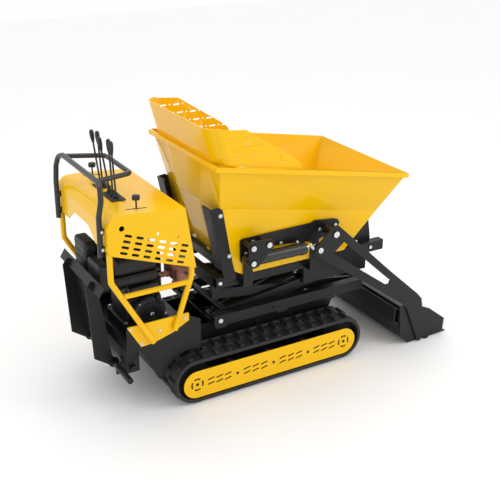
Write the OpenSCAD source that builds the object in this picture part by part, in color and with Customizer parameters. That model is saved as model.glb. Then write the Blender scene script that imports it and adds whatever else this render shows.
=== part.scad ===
// Tracked power wheelbarrow with a scissor lift, a tipping skip and a self-loading shovel.
// Millimetres. +X runs towards the shovel, +Y to the left, +Z up, and the tracks stand on z = 0.
// Inside the modules x is counted from the rear hubs; at_hub() puts the machine in its frame.

/* [Overall] */
// From the rear hubs back to the folded platform's rearmost edge
rear_reach = 468; // [440:1:520]
// From the rear hubs forward to the shovel's cutting edge
front_reach = 1583; // [1540:1:1680]

/* [Tracks] */
// Distance between the rear and the front hub
hub_pitch = 880; // [820:5:1000]
// Radius of a track's round end over its lugs
track_r = 124; // [118:1:130]
// Width of the rubber belt
belt_w = 180; // [170:1:190]
// From the centre plane to the belt's outer edge
belt_out = 362; // [356:1:372]
// Thickness of the belt without its lugs
belt_t = 10; // [8:1:12]
// Height of the lugs
lug_h = 16; // [10:1:18]
// Length of a lug along the belt
lug_l = 22; // [16:1:30]
// Distance from one lug to the next
lug_pitch = 72; // [60:1:90]
// Radius of the yellow cover's round ends
cover_r = 74; // [66:1:78]
// Thickness of the yellow covers
cover_t = 4; // [3:0.5:6]
// Radius of the three road rollers
roller_r = 32; // [28:1:36]

/* [Scissor lift] */
// From the rear hubs to the lift's rear pivots
lift_x = 195; // [185:1:215]
// Length of a scissor arm from pivot to roller
lift_arm = 850; // [800:5:880]
// Slope of the folded arms, in degrees
lift_rest = 8; // [7.5:0.5:10]
// Height of the lower pivots
lower_pivot_z = 361; // [355:1:370]
// Depth of a scissor arm
arm_depth = 50; // [44:1:54]
// Thickness of a scissor arm
arm_t = 12; // [8:1:14]
// Height of a lift rail
rail_h = 56; // [54:1:64]
// Depth of a lift rail, from its web to its lips
rail_d = 45; // [40:1:48]
// Thickness of the rails' sheet
rail_t = 6; // [4:0.5:6.5]
// From the centre plane to the rails' outer faces
rail_out = 250; // [246:1:256]
// Radius of a pivot pin
pin_r = 15; // [12:0.5:17]

/* [Skip] */
// Height of the skip's floor
skip_floor_z = 611; // [605:1:625]
// Height of the skip's rim at the rear
rim_rear_z = 1215; // [1180:1:1240]
// Height of the skip's rim at the front
rim_front_z = 1015; // [980:1:1040]
// Half the rim's width at the rear, over its lip
rim_rear_w = 377; // [360:1:385]
// Half the rim's width at the front, over its lip
rim_front_w = 398; // [380:1:401]
// Half the skip's width below the fold
skip_w = 292; // [280:1:294]
// Thickness of the skip's sheet
skip_t = 4; // [3:0.5:6]
// Height of the folded lip round the rim
lip_h = 24; // [16:1:30]
// Height of the spill guard above the rear rim
spill_h = 175; // [120:5:220]

/* [Loader] */
// From the centre plane to the loader arms' outer faces
loader_out = 415; // [413:1:425]
// Thickness of a loader arm
loader_t = 12; // [8:1:12]
// Radius of a loader cylinder's barrel
loader_barrel_r = 31; // [26:1:33]
// Radius of a loader cylinder's rod
loader_rod_r = 14; // [10:1:18]
// Thickness of the shovel's sheet
shovel_t = 6; // [4:0.5:8]

/* [Engine bay] */
// Half the width of the engine deck
deck_w = 296; // [286:1:300]
// Height of the engine deck's floor
deck_z = 340; // [336:1:348]
// Half the width of the hood
hood_w = 335; // [333:1:345]
// Thickness of the hood's sheet
hood_t = 3; // [2:0.5:4]
// Radius of the yellow guard tubes
guard_r = 14; // [12:0.5:16]
// Radius of the handlebar's tube
bar_r = 13; // [11:0.5:15]

/* [Controls] */
// Length of a hydraulic lever from its ball to its tip
lever_l = 262; // [220:1:300]
// Radius of a lever's rod
lever_r = 4.5; // [4:0.5:6]
// Radius of a lever's handle
knob_r = 11; // [9:0.5:13]

/* [Hidden] */
$fn = 48;
eps = 0.01;
// Clearance of a pin in its bore, and the gap between faces that pass each other
fit = 0.05;
gap = 0.3;

axle_x = (rear_reach - front_reach) / 2;
hub_z = track_r;
belt_out_r = track_r - lug_h;
belt_in_r = belt_out_r - belt_t;
belt_in = belt_out - belt_w;
belt_mid = belt_out - belt_w / 2;
belt_groove = 5;
belt_groove_w = 44;
belt_run = 2 * hub_pitch + 2 * PI * belt_out_r;
lug_count = round(belt_run / lug_pitch);
cover_z = hub_z - 13.5;
cover_out = belt_out + 4;
cover_bolt_x = [hub_pitch * 0.2577, hub_pitch * 0.5, hub_pitch * 0.7405];
beam_out = belt_out - 32;
beam_in = belt_in + 38;
beam_z0 = hub_z - 29;
beam_h = 48;
beam_x0 = 118;
beam_x1 = hub_pitch - 116;
roller_x = [for (i = [0:2]) hub_pitch * (0.25 + 0.25 * i)];
roller_z = hub_z - belt_in_r + roller_r + gap;
axle_r = 10;
side_w = belt_in - 12;

lift_top = lift_arm * sin(lift_rest);
upper_pivot_z = lower_pivot_z + lift_top;
arm_a_out = 198;
arm_b_out = arm_a_out - arm_t - 6;
roller_lift_r = rail_h / 2 - rail_t - gap;
rail_in = rail_out - rail_d;
lower_rail_z = lower_pivot_z - rail_h / 2;
upper_rail_z = 541;
lower_rail_x = [160, 1078];
upper_rail_x = [175, 1206];
guide_x = [690, 1092];
lift_base_y = side_w;
// Lift cylinder: base pivot, and its eye in the outer arms' own frame
lift_base = [263, 269];
lift_eye = [640, -30];
lift_eye_at = [lift_x + lift_eye[0] * cos(lift_rest) - lift_eye[1] * sin(lift_rest),
    lower_pivot_z + lift_eye[0] * sin(lift_rest) + lift_eye[1] * cos(lift_rest)];
lift_barrel_r = 32;
lift_rod_r = 18;
// Tip cylinder: base pivot on the upper frame, eye under the skip, and the skip's hinge
tip_base = [500, 560];
tip_eye = [900, 583];
tip_hinge = [1120, 569];
tip_barrel_r = 28;
tip_rod_r = 16;
tip_lug_y = 30;

// Skip stations: x of the rear panel, of the corner and of the front, with half widths
fold_rear_z = 980;
fold_front_z = 796;
rim_rear_x = 136;
rim_front_x = 1225;
fold_rear_x = 176;
fold_front_x = 1112;
floor_rear_x = 300;
floor_front_x = 912;
lip_out = 5;
lip_rear = 20;
upright_t = 5;

loader_in = loader_out - loader_t;
bracket_y = 305;
bracket_t = 8;
cheek_y = 393;
loader_pivot = [770, 773];
loader_base = [302, 708];
loader_eye = [677, 706];
loader_cyl_y = 350;
boss_r = 22;
shovel_w = loader_in - gap;

hood_rear_x = -408;
hood_top_z = 1060;
guard_y = hood_w - hood_t - guard_r - gap;
post_y = 286;
post_x = -428;
step_pivot = [-350, 237];
step_r = 15;
lever_ball_z = 1080;
lever_ball_r = 14;
work_lever_y = [-45, -85, -125];
work_lever_x = -277;
travel_lever_y = [98, 66];
travel_lever_x = -268;
throttle_x = -241;
throttle_y = 275;
throttle_z = 960;
tank_top_z = 760;
cap_at = [-215, 60];
ring_fn = 32;

yellow = "#F4BD28";
black = "#2C2C2E";
dark = "#1B1B1C";
rubber = "#232425";
zinc = "#C9CBCD";
chrome = "#E2E4E6";
cast = "#6E7073";
rust = "#8A5A4A";

// ---------- shared shapes ----------
module at_hub() translate([axle_x, 0, 0]) children();
module pair() { children(); mirror([0, 1, 0]) children(); }
// An x-z outline made into a plate on the right, its outer face at y = -y_out
module slab(y_out, t) translate([0, t - y_out, 0]) rotate([90, 0, 0]) linear_extrude(t) children();
// A round bar along y from y0 to y1
module bar_y(x, z, r, y0, y1) translate([x, y0, z]) rotate([-90, 0, 0]) cylinder(r = r, h = y1 - y0);
// At p, with +z turned towards q
module facing(p, q) {
    d = q - p;
    translate(p) rotate([0, acos(d[2] / norm(d)), atan2(d[1], d[0])]) children();
}
// A round bar from p to q
module rod(p, q, r) facing(p, q) cylinder(r = r, h = norm(q - p));
// A round tube along points, with ball joints at its bends
module tube(points, r) {
    for (i = [0:len(points) - 2]) rod(points[i], points[i + 1], r);
    for (i = [1:len(points) - 2]) facing(points[i], points[i + 1]) sphere(r + 0.2);
}
// A box between two corners
module box(a, b) translate(a) cube(b - a);
module obround(r, pitch) {
    circle(r);
    translate([pitch, 0]) circle(r);
    translate([0, -r]) square([pitch, 2 * r]);
}
module slot2d(l, w) translate([-(l - w) / 2, 0]) obround(w / 2, l - w);
function arc(x, z, r, a0, a1, n = 8) =
    [for (i = [0:n]) let (a = a0 + (a1 - a0) * i / n) [x + r * cos(a), z + r * sin(a)]];
function mix(a, b, t) = a + (b - a) * t;
// A hexagon-headed bolt on the right, its seat at y = -y_seat
module bolt(x, z, y_seat, r = 8, h = 6, shank = 6) {
    bar_y(x, z, r, -y_seat - h, -y_seat);
    bar_y(x, z, r * 0.55, -y_seat, -y_seat + shank);
}

// ---------- tracks ----------
module belt_ring(r, y0, y1) translate([0, y1, hub_z]) rotate([90, 0, 0])
    linear_extrude(y1 - y0) obround(r, hub_pitch);
// Place along the belt's outer face: x, z and the outward angle
function belt_at(s) =
    s < hub_pitch ? [s, hub_z - belt_out_r, -90] :
    s < hub_pitch + PI * belt_out_r ?
        let (a = -90 + (s - hub_pitch) / belt_out_r * 180 / PI)
            [hub_pitch + belt_out_r * cos(a), hub_z + belt_out_r * sin(a), a] :
    s < 2 * hub_pitch + PI * belt_out_r ?
        [2 * hub_pitch + PI * belt_out_r - s, hub_z + belt_out_r, 90] :
        let (a = 90 + (s - 2 * hub_pitch - PI * belt_out_r) / belt_out_r * 180 / PI)
            [belt_out_r * cos(a), hub_z + belt_out_r * sin(a), a];
module belt() at_hub() color(rubber) {
    difference() {
        belt_ring(belt_out_r, -belt_out, -belt_in);
        belt_ring(belt_in_r, -belt_out - 1, -belt_in + 1);
        belt_ring(belt_in_r + belt_groove, -belt_mid - belt_groove_w / 2, -belt_mid + belt_groove_w / 2);
    }
    root = 2;
    for (i = [0:lug_count - 1]) {
        p = belt_at((i + 0.5) * belt_run / lug_count);
        // A lug on the round ends is a little lower, so its corners stay above the ground
        h = abs(p[2]) == 90 ? lug_h : lug_h - 0.7;
        translate([p[0], -belt_out, p[1]]) rotate([0, -p[2], 0])
            translate([-root, 4, -lug_l / 2]) cube([h + root, belt_w - 8, lug_l]);
    }
}
module belt_right() belt();
module belt_left() mirror([0, 1, 0]) belt();

module track_beam() at_hub() color(black) difference() {
    union() {
        box([beam_x0, -beam_out, beam_z0], [beam_x1, -beam_in, beam_z0 + beam_h]);
        // Cheeks that carry the road rollers
        for (x = roller_x, y = [-beam_out, -beam_in - 6])
            box([x - 20, y, roller_z - 12], [x + 20, y + 6, beam_z0]);
        for (x = roller_x) bar_y(x, roller_z, axle_r, -beam_out, -beam_in);
        // Fork and axle of the front idler
        for (y = [-beam_out, -beam_in - 12])
            box([beam_x1 - 1, y, hub_z - 16], [hub_pitch + 18, y + 12, hub_z + 16]);
        bar_y(hub_pitch, hub_z, axle_r + 5, -beam_out - 4, -beam_in + 4);
        // Posts of the cover and the three tabs above it
        for (x = cover_bolt_x) bar_y(x, cover_z, 9, -cover_out + cover_t, -beam_out + 1);
        for (x = cover_bolt_x) {
            box([x - 46, -beam_out, beam_z0 + beam_h - 1], [x - 22, -beam_out + 5, hub_z + 68]);
            box([x - 46, -cover_out + cover_t, hub_z + 63], [x - 22, -beam_out + 1, hub_z + 68]);
        }
        // Final drive housing behind the sprocket
        bar_y(0, hub_z, 52, -beam_in, -side_w);
        box([40, -beam_in, beam_z0 + 4], [beam_x0 + 1, -beam_in + 14, beam_z0 + beam_h - 4]);
    }
    bar_y(0, hub_z, 20 + fit, -beam_in - 1, -side_w + 1);
    box([beam_x0 + 6, -beam_out + 6, beam_z0 - 1], [beam_x1 - 6, -beam_in - 6, beam_z0 + beam_h - 6]);
}
module track_beam_right() track_beam();
module track_beam_left() mirror([0, 1, 0]) track_beam();

// Cover outline with arc slots round both hubs and slanting slots between the bolts
module hub_slots() {
    difference() {
        circle(34);
        circle(27);
        for (a = [45:90:315]) rotate(a) translate([0, -5]) square([40, 10]);
    }
    circle(8);
}
module track_cover() at_hub() color(yellow) translate([0, 0, cover_z]) slab(cover_out, cover_t)
    difference() {
        obround(cover_r, hub_pitch);
        hub_slots();
        translate([hub_pitch, 0]) hub_slots();
        for (x = cover_bolt_x) translate([x, 0]) circle(6);
        stops = concat([0], cover_bolt_x, [hub_pitch]);
        for (k = [0:3], i = [0:2], v = [-1, 1]) {
            room = stops[k + 1] - stops[k];
            lead = k == 0 ? 52 : 30;
            tail = k == 3 ? 52 : 30;
            translate([stops[k] + lead + (room - lead - tail) * (i + 0.5) / 3, 13 * v])
                rotate(12) slot2d(38, 7);
        }
    }
module track_cover_right() track_cover();
module track_cover_left() mirror([0, 1, 0]) track_cover();

sprocket_y = [-belt_mid - 16, -belt_mid + 16];
module sprocket() at_hub() color(cast) {
    bar_y(0, hub_z, belt_in_r - gap, sprocket_y[0] - 24, sprocket_y[0] - 12);
    bar_y(0, hub_z, belt_in_r - gap, sprocket_y[1] + 12, sprocket_y[1] + 24);
    translate([0, sprocket_y[1], hub_z]) rotate([90, 0, 0])
        linear_extrude(sprocket_y[1] - sprocket_y[0]) {
            circle(belt_in_r - 8);
            for (a = [0:36:324]) rotate(a) translate([belt_in_r - 12, -8])
                square([belt_groove + 10, 16]);
        }
    bar_y(0, hub_z, 56, sprocket_y[0] - 24, sprocket_y[1] + 24);
    bar_y(0, hub_z, 20, sprocket_y[1] + 20, -side_w);
}
module sprocket_right() sprocket();
module sprocket_left() mirror([0, 1, 0]) sprocket();

module idler() at_hub() color(cast) difference() {
    union() {
        for (y = [sprocket_y[0] - 18, sprocket_y[1] + 4]) bar_y(hub_pitch, hub_z, belt_in_r - gap, y, y + 14);
        bar_y(hub_pitch, hub_z, belt_in_r - 14, sprocket_y[0] - 18, sprocket_y[1] + 18);
    }
    bar_y(hub_pitch, hub_z, axle_r + 5 + fit, -belt_out, -belt_in);
}
module idler_right() idler();
module idler_left() mirror([0, 1, 0]) idler();

module road_roller(i) at_hub() color(cast) difference() {
    union() {
        bar_y(roller_x[i], roller_z, roller_r - 6, -beam_out + 7, -beam_in - 7);
        for (y = [-beam_out + 7, -beam_in - 33]) bar_y(roller_x[i], roller_z, roller_r, y, y + 26);
    }
    bar_y(roller_x[i], roller_z, axle_r + fit, -belt_out, -belt_in);
}
module road_roller_right_1() road_roller(0);
module road_roller_right_2() road_roller(1);
module road_roller_right_3() road_roller(2);
module road_roller_left_1() mirror([0, 1, 0]) road_roller(0);
module road_roller_left_2() mirror([0, 1, 0]) road_roller(1);
module road_roller_left_3() mirror([0, 1, 0]) road_roller(2);

// ---------- chassis ----------
cross_x = [hub_pitch * 0.3, hub_pitch * 0.7];
bearer_x = [200, 560, 868];
module chassis() at_hub() color(black) {
    pair() difference() {
        slab(side_w, 6) polygon([[-178, 200], [-115, 75], [hub_pitch - 80, 75], [hub_pitch + 4, 140],
            [hub_pitch + 60, 300], [hub_pitch + 60, lower_rail_z - 12], [-140, lower_rail_z - 12]]);
        bar_y(0, hub_z, 46, -side_w - 1, -side_w + 7);
        slab(side_w + 1, 8) for (x = cross_x) translate([x + 120, 240]) slot2d(130, 60);
    }
    box([-110, -side_w + 6, 75], [hub_pitch - 82, side_w - 6, 81]);
    box([-110, -side_w + 6, 81], [-104, side_w - 6, 240]);
    box([hub_pitch + 40, -side_w + 6, 262], [hub_pitch + 60, side_w - 6, lower_rail_z - 12]);
    // Tubes that carry the track beams
    for (x = cross_x) difference() {
        box([x - 30, -beam_in, beam_z0], [x + 30, beam_in, beam_z0 + beam_h - 6]);
        box([x - 25, -beam_in - 1, beam_z0 + 5], [x + 25, beam_in + 1, beam_z0 + beam_h - 11]);
    }
    // Bearers under the lift's lower rails
    pair() for (x = bearer_x) box([x - 30, -rail_out, lower_rail_z - 12], [x + 30, -100, lower_rail_z]);
    // Lugs of the lift cylinder
    pair() difference() {
        box([lift_base[0] - 26, -44, 81], [lift_base[0] + 26, -34, lift_base[1] + 26]);
        bar_y(lift_base[0], lift_base[1], 12 + fit, -45, -33);
    }
}

// Deck with raised sides, rear corner skirts and a drip floor over the tracks
module engine_deck() at_hub() color(black) {
    box([-330, -deck_w, deck_z], [60, deck_w, deck_z + 6]);
    box([-330, -deck_w, deck_z + 6], [-324, deck_w, deck_z + 60]);
    box([-140, -side_w, lower_rail_z - 12], [60, side_w, deck_z]);
    pair() slab(deck_w, 6) difference() {
        polygon([[-330, deck_z + 6], [-262, deck_z - 2], [-238, 291], [-178, 168], [-100, 168], [60, 270],
            [60, deck_z + 90], [-20, deck_z + 132], [-330, deck_z + 132]]);
        translate([0, hub_z]) circle(track_r + 26);
    }
}

module hydraulic_tank() at_hub() color(dark) {
    box([-318, -230, 196], [-246, 230, deck_z]);
    pair() box([-324, 176, 262], [-318, 226, deck_z - 10]);
    // Round step bar with its two lugs
    bar_y(step_pivot[0], step_pivot[1], step_r, -366, 366);
    pair() box([-364, -226, 205], [-317, -214, 262]);
    bar_y(-282, 222, 16, -248, -230);
}

module platform_cheek() difference() {
    union() {
        polygon([[-449, 283], [-468, 660], [-444, 693], [-416, 685], [-356, 265]]);
        translate(step_pivot) circle(27);
        polygon([[-449, 283], [-356, 265], [step_pivot[0] + 24, step_pivot[1] + 8],
            [step_pivot[0] - 26, step_pivot[1] - 6]]);
    }
    translate(step_pivot) circle(step_r + fit);
}
module platform() at_hub() color(dark) {
    pair() slab(162, 5) platform_cheek();
    // Tread sheet with rows of slots
    difference() {
        rotate([90, 0, 0]) translate([0, 0, -157]) linear_extrude(314)
            polygon([[-416, 685], [-356, 265], [-361, 264.3], [-421, 684.3]]);
        for (r = [0:7], k = [-2:2])
            translate([mix(-418, -360, (r + 0.7) / 8), k * 58 + (r % 2) * 12 - 6, mix(684, 265, (r + 0.7) / 8)])
                cube([40, 30, 8], center = true);
    }
    // Bent lip across the top
    rotate([90, 0, 0]) translate([0, 0, -270]) linear_extrude(540)
        polygon([[-418, 697], [-444, 655], [-439.8, 652.4], [-413.8, 694.4]]);
}

module lift_rail(z, x, holes = []) difference() {
    box([x[0], -rail_out, z], [x[1], -rail_in, z + rail_h]);
    box([x[0] - 1, -rail_out + rail_t, z + rail_t], [x[1] + 1, -rail_in + 1, z + rail_h - rail_t]);
    for (h = holes) bar_y(h[0], h[1], pin_r - 3, -rail_out - 1, -rail_out + rail_t + 1);
}
module lift_base() at_hub() color(black) {
    pair() lift_rail(lower_rail_z, lower_rail_x, [[lift_x, lower_pivot_z]]);
    box([lower_rail_x[0], -rail_in, lower_rail_z], [lower_rail_x[0] + 6, rail_in, lower_rail_z + 22]);
    box([lower_rail_x[1] - 6, -rail_out + 1, lower_rail_z + 1],
        [lower_rail_x[1], rail_out - 1, lower_rail_z + rail_h - 1]);
    pair() bar_y(512, lower_rail_z + 22, 8, -rail_out - 8, -rail_out);
}
module frame_pins() at_hub() color(zinc) {
    pair() bar_y(lift_x, lower_pivot_z, pin_r, -rail_out + rail_t, -arm_a_out + arm_t + 3);
    pair() bar_y(lift_x, lower_pivot_z, pin_r - 3, -rail_out - 4, -rail_out + rail_t);
    pair() bar_y(lift_base[0], lift_base[1], 12, -50, -22 - gap);
}

// ---------- engine and hydraulics ----------
module engine() at_hub() color(dark) {
    box([-270, -120, deck_z + 6], [-30, 120, 400]);
    box([-250, -105, 400], [-60, 105, 520]);
    bar_y(-150, 462, 62, -150, -105);
    for (i = [0:5]) box([-190, -84, 524 + i * 13], [-50, 84, 531 + i * 13]);
    box([-180, -70, 519], [-60, 70, 600]);
    box([-235, -150, 560], [-85, -90, 600]);
    box([-240, -90, 519], [-181, 90, 600]);
    // Recoil starter
    bar_y(-150, 462, 84, -180, -149);
    bar_y(-150, 462, 60, -190, -179);
    box([-120, -186, 500], [-96, -150, 552]);
}
module fuel_tank() at_hub() color(dark) difference() {
    union() {
        box([-318, -150, 610], [-86, 150, tank_top_z]);
        translate([cap_at[0], cap_at[1], tank_top_z - 1]) cylinder(r = 24, h = 13);
        box([-322, -154, 664], [-82, 154, 672]);
        for (x = [-210, -110], y = [-60, 60]) translate([x, y, 600]) cylinder(r = 9, h = 11);
    }
    translate([cap_at[0], cap_at[1], 640]) cylinder(r = 18, h = 200);
    box([-310, -142, 618], [-94, 142, tank_top_z - 8]);
}
module fuel_cap() at_hub() color(dark) translate([cap_at[0], cap_at[1], tank_top_z + 12 + gap]) {
    cylinder(r = 30, h = 12);
    for (a = [0:30:330]) rotate(a) translate([28, -3, 0]) cube([5, 6, 12]);
    translate([0, 0, -10]) cylinder(r = 17.5, h = 11);
}
module air_cleaner() at_hub() color(dark) {
    box([-392, 40, 640], [-326, 190, 800]);
    box([-388, -130, 600], [-326, 30, 740]);
    box([-388, 60, 560], [-240, 130, 606]);
    box([-326, -60, 560], [-240, 20, 606]);
    box([-360, -60, 560], [-326, 130, 650]);
    bar_y(-360, 770, 20, 30, 41);
}
module muffler() at_hub() color(rust) {
    box([10, -150, 556], [96, 30, 640]);
    rod([-49.8, -40, 585], [11, -40, 585], 15);
    rod([60, -151, 620], [60, -200, 640], 14);
}
module hydraulics() at_hub() color(cast) {
    // Pump on the engine
    bar_y(-150, 462, 44, 105, 130);
    box([-190, 130, 422], [-110, 200, 502]);
    bar_y(-150, 462, 26, 200, 222);
    // Valve block
    box([-330, -150, 930], [-230, 130, 1010]);
    for (y = [-130:40:110]) bar_y(-280, 915, 12, y - 8, y + 8);
    for (y = work_lever_y) translate([work_lever_x, y, 1009]) cylinder(r = 8, h = 44);
    for (y = travel_lever_y) translate([travel_lever_x, y, 1009]) cylinder(r = 8, h = 44);
    // Tray that hangs the block between the hood's sides
    box([-360, -hood_w + hood_t, 922], [-200, hood_w - hood_t, 930]);
}

// ---------- hood, guards and handlebar ----------
hood_side = concat([[hood_rear_x - 3, 890]], [[hood_rear_x, 1010]],
    arc(hood_rear_x + 62, 998, 62, 168, 100, 6), [[-285, hood_top_z], [-25, 1038], [23, 728], [-64, 759],
    [-387, 873]]);
slot_step = [55.6, -20.6];
row_step = [-8.7, -26.3];
module hood_vents() {
    for (c = [0:5], r = [0:3]) translate([-310, 957] + c * slot_step + r * row_step)
        rotate(-20.3) slot2d(38, 13);
    translate([-340, 998]) circle(13);
    translate([-165, 938]) rotate(90) slot2d(20, 10);
    translate([-64, 904]) rotate(80) slot2d(16, 4);
}
module hood() at_hub() color(yellow) difference() {
    union() {
        pair() slab(hood_w, hood_t) difference() {
            polygon(hood_side);
            hood_vents();
        }
        // Rear panel and top, bent from one sheet
        translate([0, hood_w - hood_t, 0]) rotate([90, 0, 0]) linear_extrude(2 * (hood_w - hood_t))
            difference() {
                polygon(hood_side);
                translate([hood_t, -hood_t]) polygon(concat([[hood_rear_x - 3, 700]], [[hood_rear_x, 1010]],
                    arc(hood_rear_x + 62, 998, 62, 168, 100, 6),
                    [[-285, hood_top_z], [200, 1019], [200, 700]]));
            }
        // Brackets of the two slot levers
        pair() box([throttle_x - 14, -throttle_y + 5 + gap, throttle_z - 14],
            [throttle_x + 14, -throttle_y + 11, hood_top_z - 6]);
        pair() bar_y(throttle_x, throttle_z, 5, -throttle_y - 8, -throttle_y + 6);
    }
    // Arch in the rear panel
    translate([hood_rear_x - 20, 0, 0]) rotate([90, 0, 90]) linear_extrude(40)
        polygon([[-185, 850], [-172, 895], [-90, 948], [90, 948], [172, 895], [185, 850]]);
    pair() translate([throttle_x, -throttle_y, 1030]) linear_extrude(60) slot2d(104, 12);
    translate([0, 0, 1020]) for (y = work_lever_y) translate([work_lever_x, y, 0]) cylinder(r = 10, h = 60);
    translate([0, 0, 1020]) for (y = travel_lever_y) translate([travel_lever_x, y, 0]) cylinder(r = 10, h = 60);
}
module lever_boots() at_hub() color(dark) {
    box([work_lever_x - 34, -158, hood_top_z + gap], [work_lever_x + 36, -14, lever_ball_z - 8]);
    box([travel_lever_x - 34, 42, hood_top_z + gap], [travel_lever_x + 36, 122, lever_ball_z - 8]);
    for (y = work_lever_y) translate([work_lever_x, y, hood_top_z + gap])
        cylinder(r = 15, h = lever_ball_z - hood_top_z - gap);
    for (y = travel_lever_y) translate([travel_lever_x, y, hood_top_z + gap])
        cylinder(r = 15, h = lever_ball_z - hood_top_z - gap);
    for (y = work_lever_y) translate([work_lever_x, y, lever_ball_z]) sphere(lever_ball_r);
    for (y = travel_lever_y) translate([travel_lever_x, y, lever_ball_z]) sphere(lever_ball_r);
}
module lever(x, y, lean_x, lean_y, grip) at_hub() color(dark)
    translate([x, y, lever_ball_z]) rotate([lean_y, lean_x, 0]) {
        translate([0, 0, lever_ball_r + gap]) cylinder(r = lever_r, h = lever_l - lever_ball_r - grip);
        translate([0, 0, lever_l - grip]) cylinder(r1 = lever_r, r2 = knob_r, h = grip * 0.4);
        translate([0, 0, lever_l - grip * 0.6]) cylinder(r = knob_r, h = grip * 0.6 - knob_r);
        translate([0, 0, lever_l - knob_r]) sphere(knob_r);
    }
module travel_lever_left() lever(travel_lever_x, travel_lever_y[0], -6, -1, 66);
module travel_lever_right() lever(travel_lever_x, travel_lever_y[1], -3, 1, 66);
module lift_lever() lever(work_lever_x, work_lever_y[0], -7, -3, 70);
module tip_lever() lever(work_lever_x, work_lever_y[1], -2, 1, 70);
module loader_lever() lever(work_lever_x, work_lever_y[2], -3, 1, 70);

module slot_lever() at_hub() color(dark) {
    difference() {
        bar_y(throttle_x, throttle_z, 11, -throttle_y - 6, -throttle_y + 5);
        bar_y(throttle_x, throttle_z, 5 + fit, -throttle_y - 7, -throttle_y + 6);
    }
    translate([throttle_x, -throttle_y, throttle_z + 8]) cylinder(r = 4, h = 131);
    // Lobed knob
    translate([throttle_x, -throttle_y, throttle_z + 138]) difference() {
        cylinder(r = 19, h = 24);
        for (a = [0:60:300]) rotate(a) translate([21, 0, -1]) cylinder(r = 5, h = 26);
    }
}
module throttle_lever() slot_lever();
module choke_lever() mirror([0, 1, 0]) slot_lever();

module handlebar() at_hub() color(black) {
    right_post = [[post_x, -post_y, 862], [post_x + 2, -post_y - 2, 1052], [post_x + 12, -post_y - 14, 1128],
        [post_x + 20, -post_y + 8, 1180], [post_x + 29, -post_y + 50, 1195]];
    left_post = [for (i = [len(right_post) - 1:-1:0]) [right_post[i][0], -right_post[i][1], right_post[i][2]]];
    tube(concat(right_post, left_post), bar_r);
    tube([[-399, -216, 1195], [-212, -158, 1186], [-212, 158, 1186], [-399, 216, 1195]], bar_r - 1);
    // Mounting blocks between the posts and the hood
    pair() for (z = [900, 985]) box([post_x - 2, -post_y - 16, z - 14], [hood_rear_x - 3.2, -post_y + 12, z + 14]);
}

module guard() at_hub() color(yellow) {
    tube([[-399, -guard_y, 884], [-399, -guard_y, 738], [-203, -guard_y, 384]], guard_r);
    tube([[7, -guard_y, 752], [6, -guard_y, 688], [-90, -guard_y, 420]], guard_r);
    rod([-341, -guard_y, 656], [-8, -guard_y, 656], guard_r - 1);
    difference() {
        slab(guard_y - guard_r + 1, guard_y - guard_r + 1 - deck_w)
            polygon([[-330, 484], [-7, 484], [-7, 445], [-90, 402], [-193, 372], [-262, 366]]);
        for (p = guard_bolts) bar_y(p[0], p[1], 5, -400, -200);
    }
}
guard_bolts = [[-310, 472], [-258, 384], [-166, 430], [-30, 462]];
module guard_right() guard();
module guard_left() mirror([0, 1, 0]) guard();

module body_bolts() at_hub() color(zinc) pair() {
    for (p = guard_bolts) bolt(p[0], p[1], guard_y - guard_r + 1, 7, 5, 8);
    for (x = cover_bolt_x) bolt(x, cover_z, cover_out, 8, 3, 3);
    for (z = [900, 985]) bar_y(post_x + 8, z, 7, -post_y - 21, -post_y - 16);
}

// ---------- scissor arms ----------
// Arm outline from its pivot along +x, with bores at both ends and in the middle
module arm2d(r_end, r_mid, r_tip) difference() {
    obround(arm_depth / 2, lift_arm);
    circle(r_end);
    translate([lift_arm / 2, 0]) circle(r_mid);
    translate([lift_arm, 0]) circle(r_tip);
}
module on_arm_a() at_hub() translate([lift_x, 0, lower_pivot_z]) rotate([0, -lift_rest, 0]) children();
module on_arm_b() at_hub() translate([lift_x, 0, upper_pivot_z]) rotate([0, lift_rest, 0]) children();
module lift_arms_outer() on_arm_a() color(black) {
    pair() slab(arm_a_out, arm_t) arm2d(pin_r + fit, pin_r - 2, 8);
    for (x = [62, 780]) bar_y(x, 0, 18, -arm_a_out + arm_t, arm_a_out - arm_t);
    bar_y(692, -2, 16, -arm_a_out + arm_t, arm_a_out - arm_t);
    // Ears of the lift cylinder
    pair() slab(36, 10) difference() {
        polygon([[620, -52], [652, -52], [710, -12], [704, 14], [680, 14], [618, -18]]);
    }
    // Centre pins and the axles of the upper rollers
    pair() bar_y(lift_arm / 2, 0, pin_r - 2, -arm_a_out, -arm_b_out + arm_t + 3);
    pair() bar_y(lift_arm, 0, 8, -rail_out + rail_t + 2, -arm_a_out + arm_t);
}
module lift_arms_inner() on_arm_b() color(black) {
    pair() slab(arm_b_out, arm_t) arm2d(pin_r + fit, pin_r - 2 + fit, 8);
    for (x = [62, 780]) bar_y(x, 0, 18, -arm_b_out + arm_t, arm_b_out - arm_t);
    pair() bar_y(lift_arm, 0, 8, -rail_out + rail_t + 2, -arm_b_out + arm_t);
}
module lift_rollers() pair() difference() {
    bar_y(lift_arm, 0, roller_lift_r, -rail_out + rail_t + 4, -rail_in + 2);
    bar_y(lift_arm, 0, 8 + fit, -rail_out, -rail_in + 10);
}
module lift_rollers_upper() on_arm_a() color(zinc) lift_rollers();
module lift_rollers_lower() on_arm_b() color(zinc) lift_rollers();

// ---------- cylinders ----------
// Barrel with a cross bore at the origin, along +x, bored for its rod
module barrel(r, rod_r, l, eye_w, pin) difference() {
    union() {
        bar_y(0, 0, r * 0.8, -eye_w / 2, eye_w / 2);
        rotate([0, 90, 0]) translate([0, 0, r * 0.5]) cylinder(r = r, h = l - r * 0.5);
        rotate([0, 90, 0]) translate([0, 0, l - 26]) cylinder(r = r + 2, h = 26);
    }
    if (pin > 0) bar_y(0, 0, pin, -r * 2, r * 2);
    rotate([0, 90, 0]) translate([0, 0, r + 22]) cylinder(r = rod_r + 0.08, h = l);
}
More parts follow.
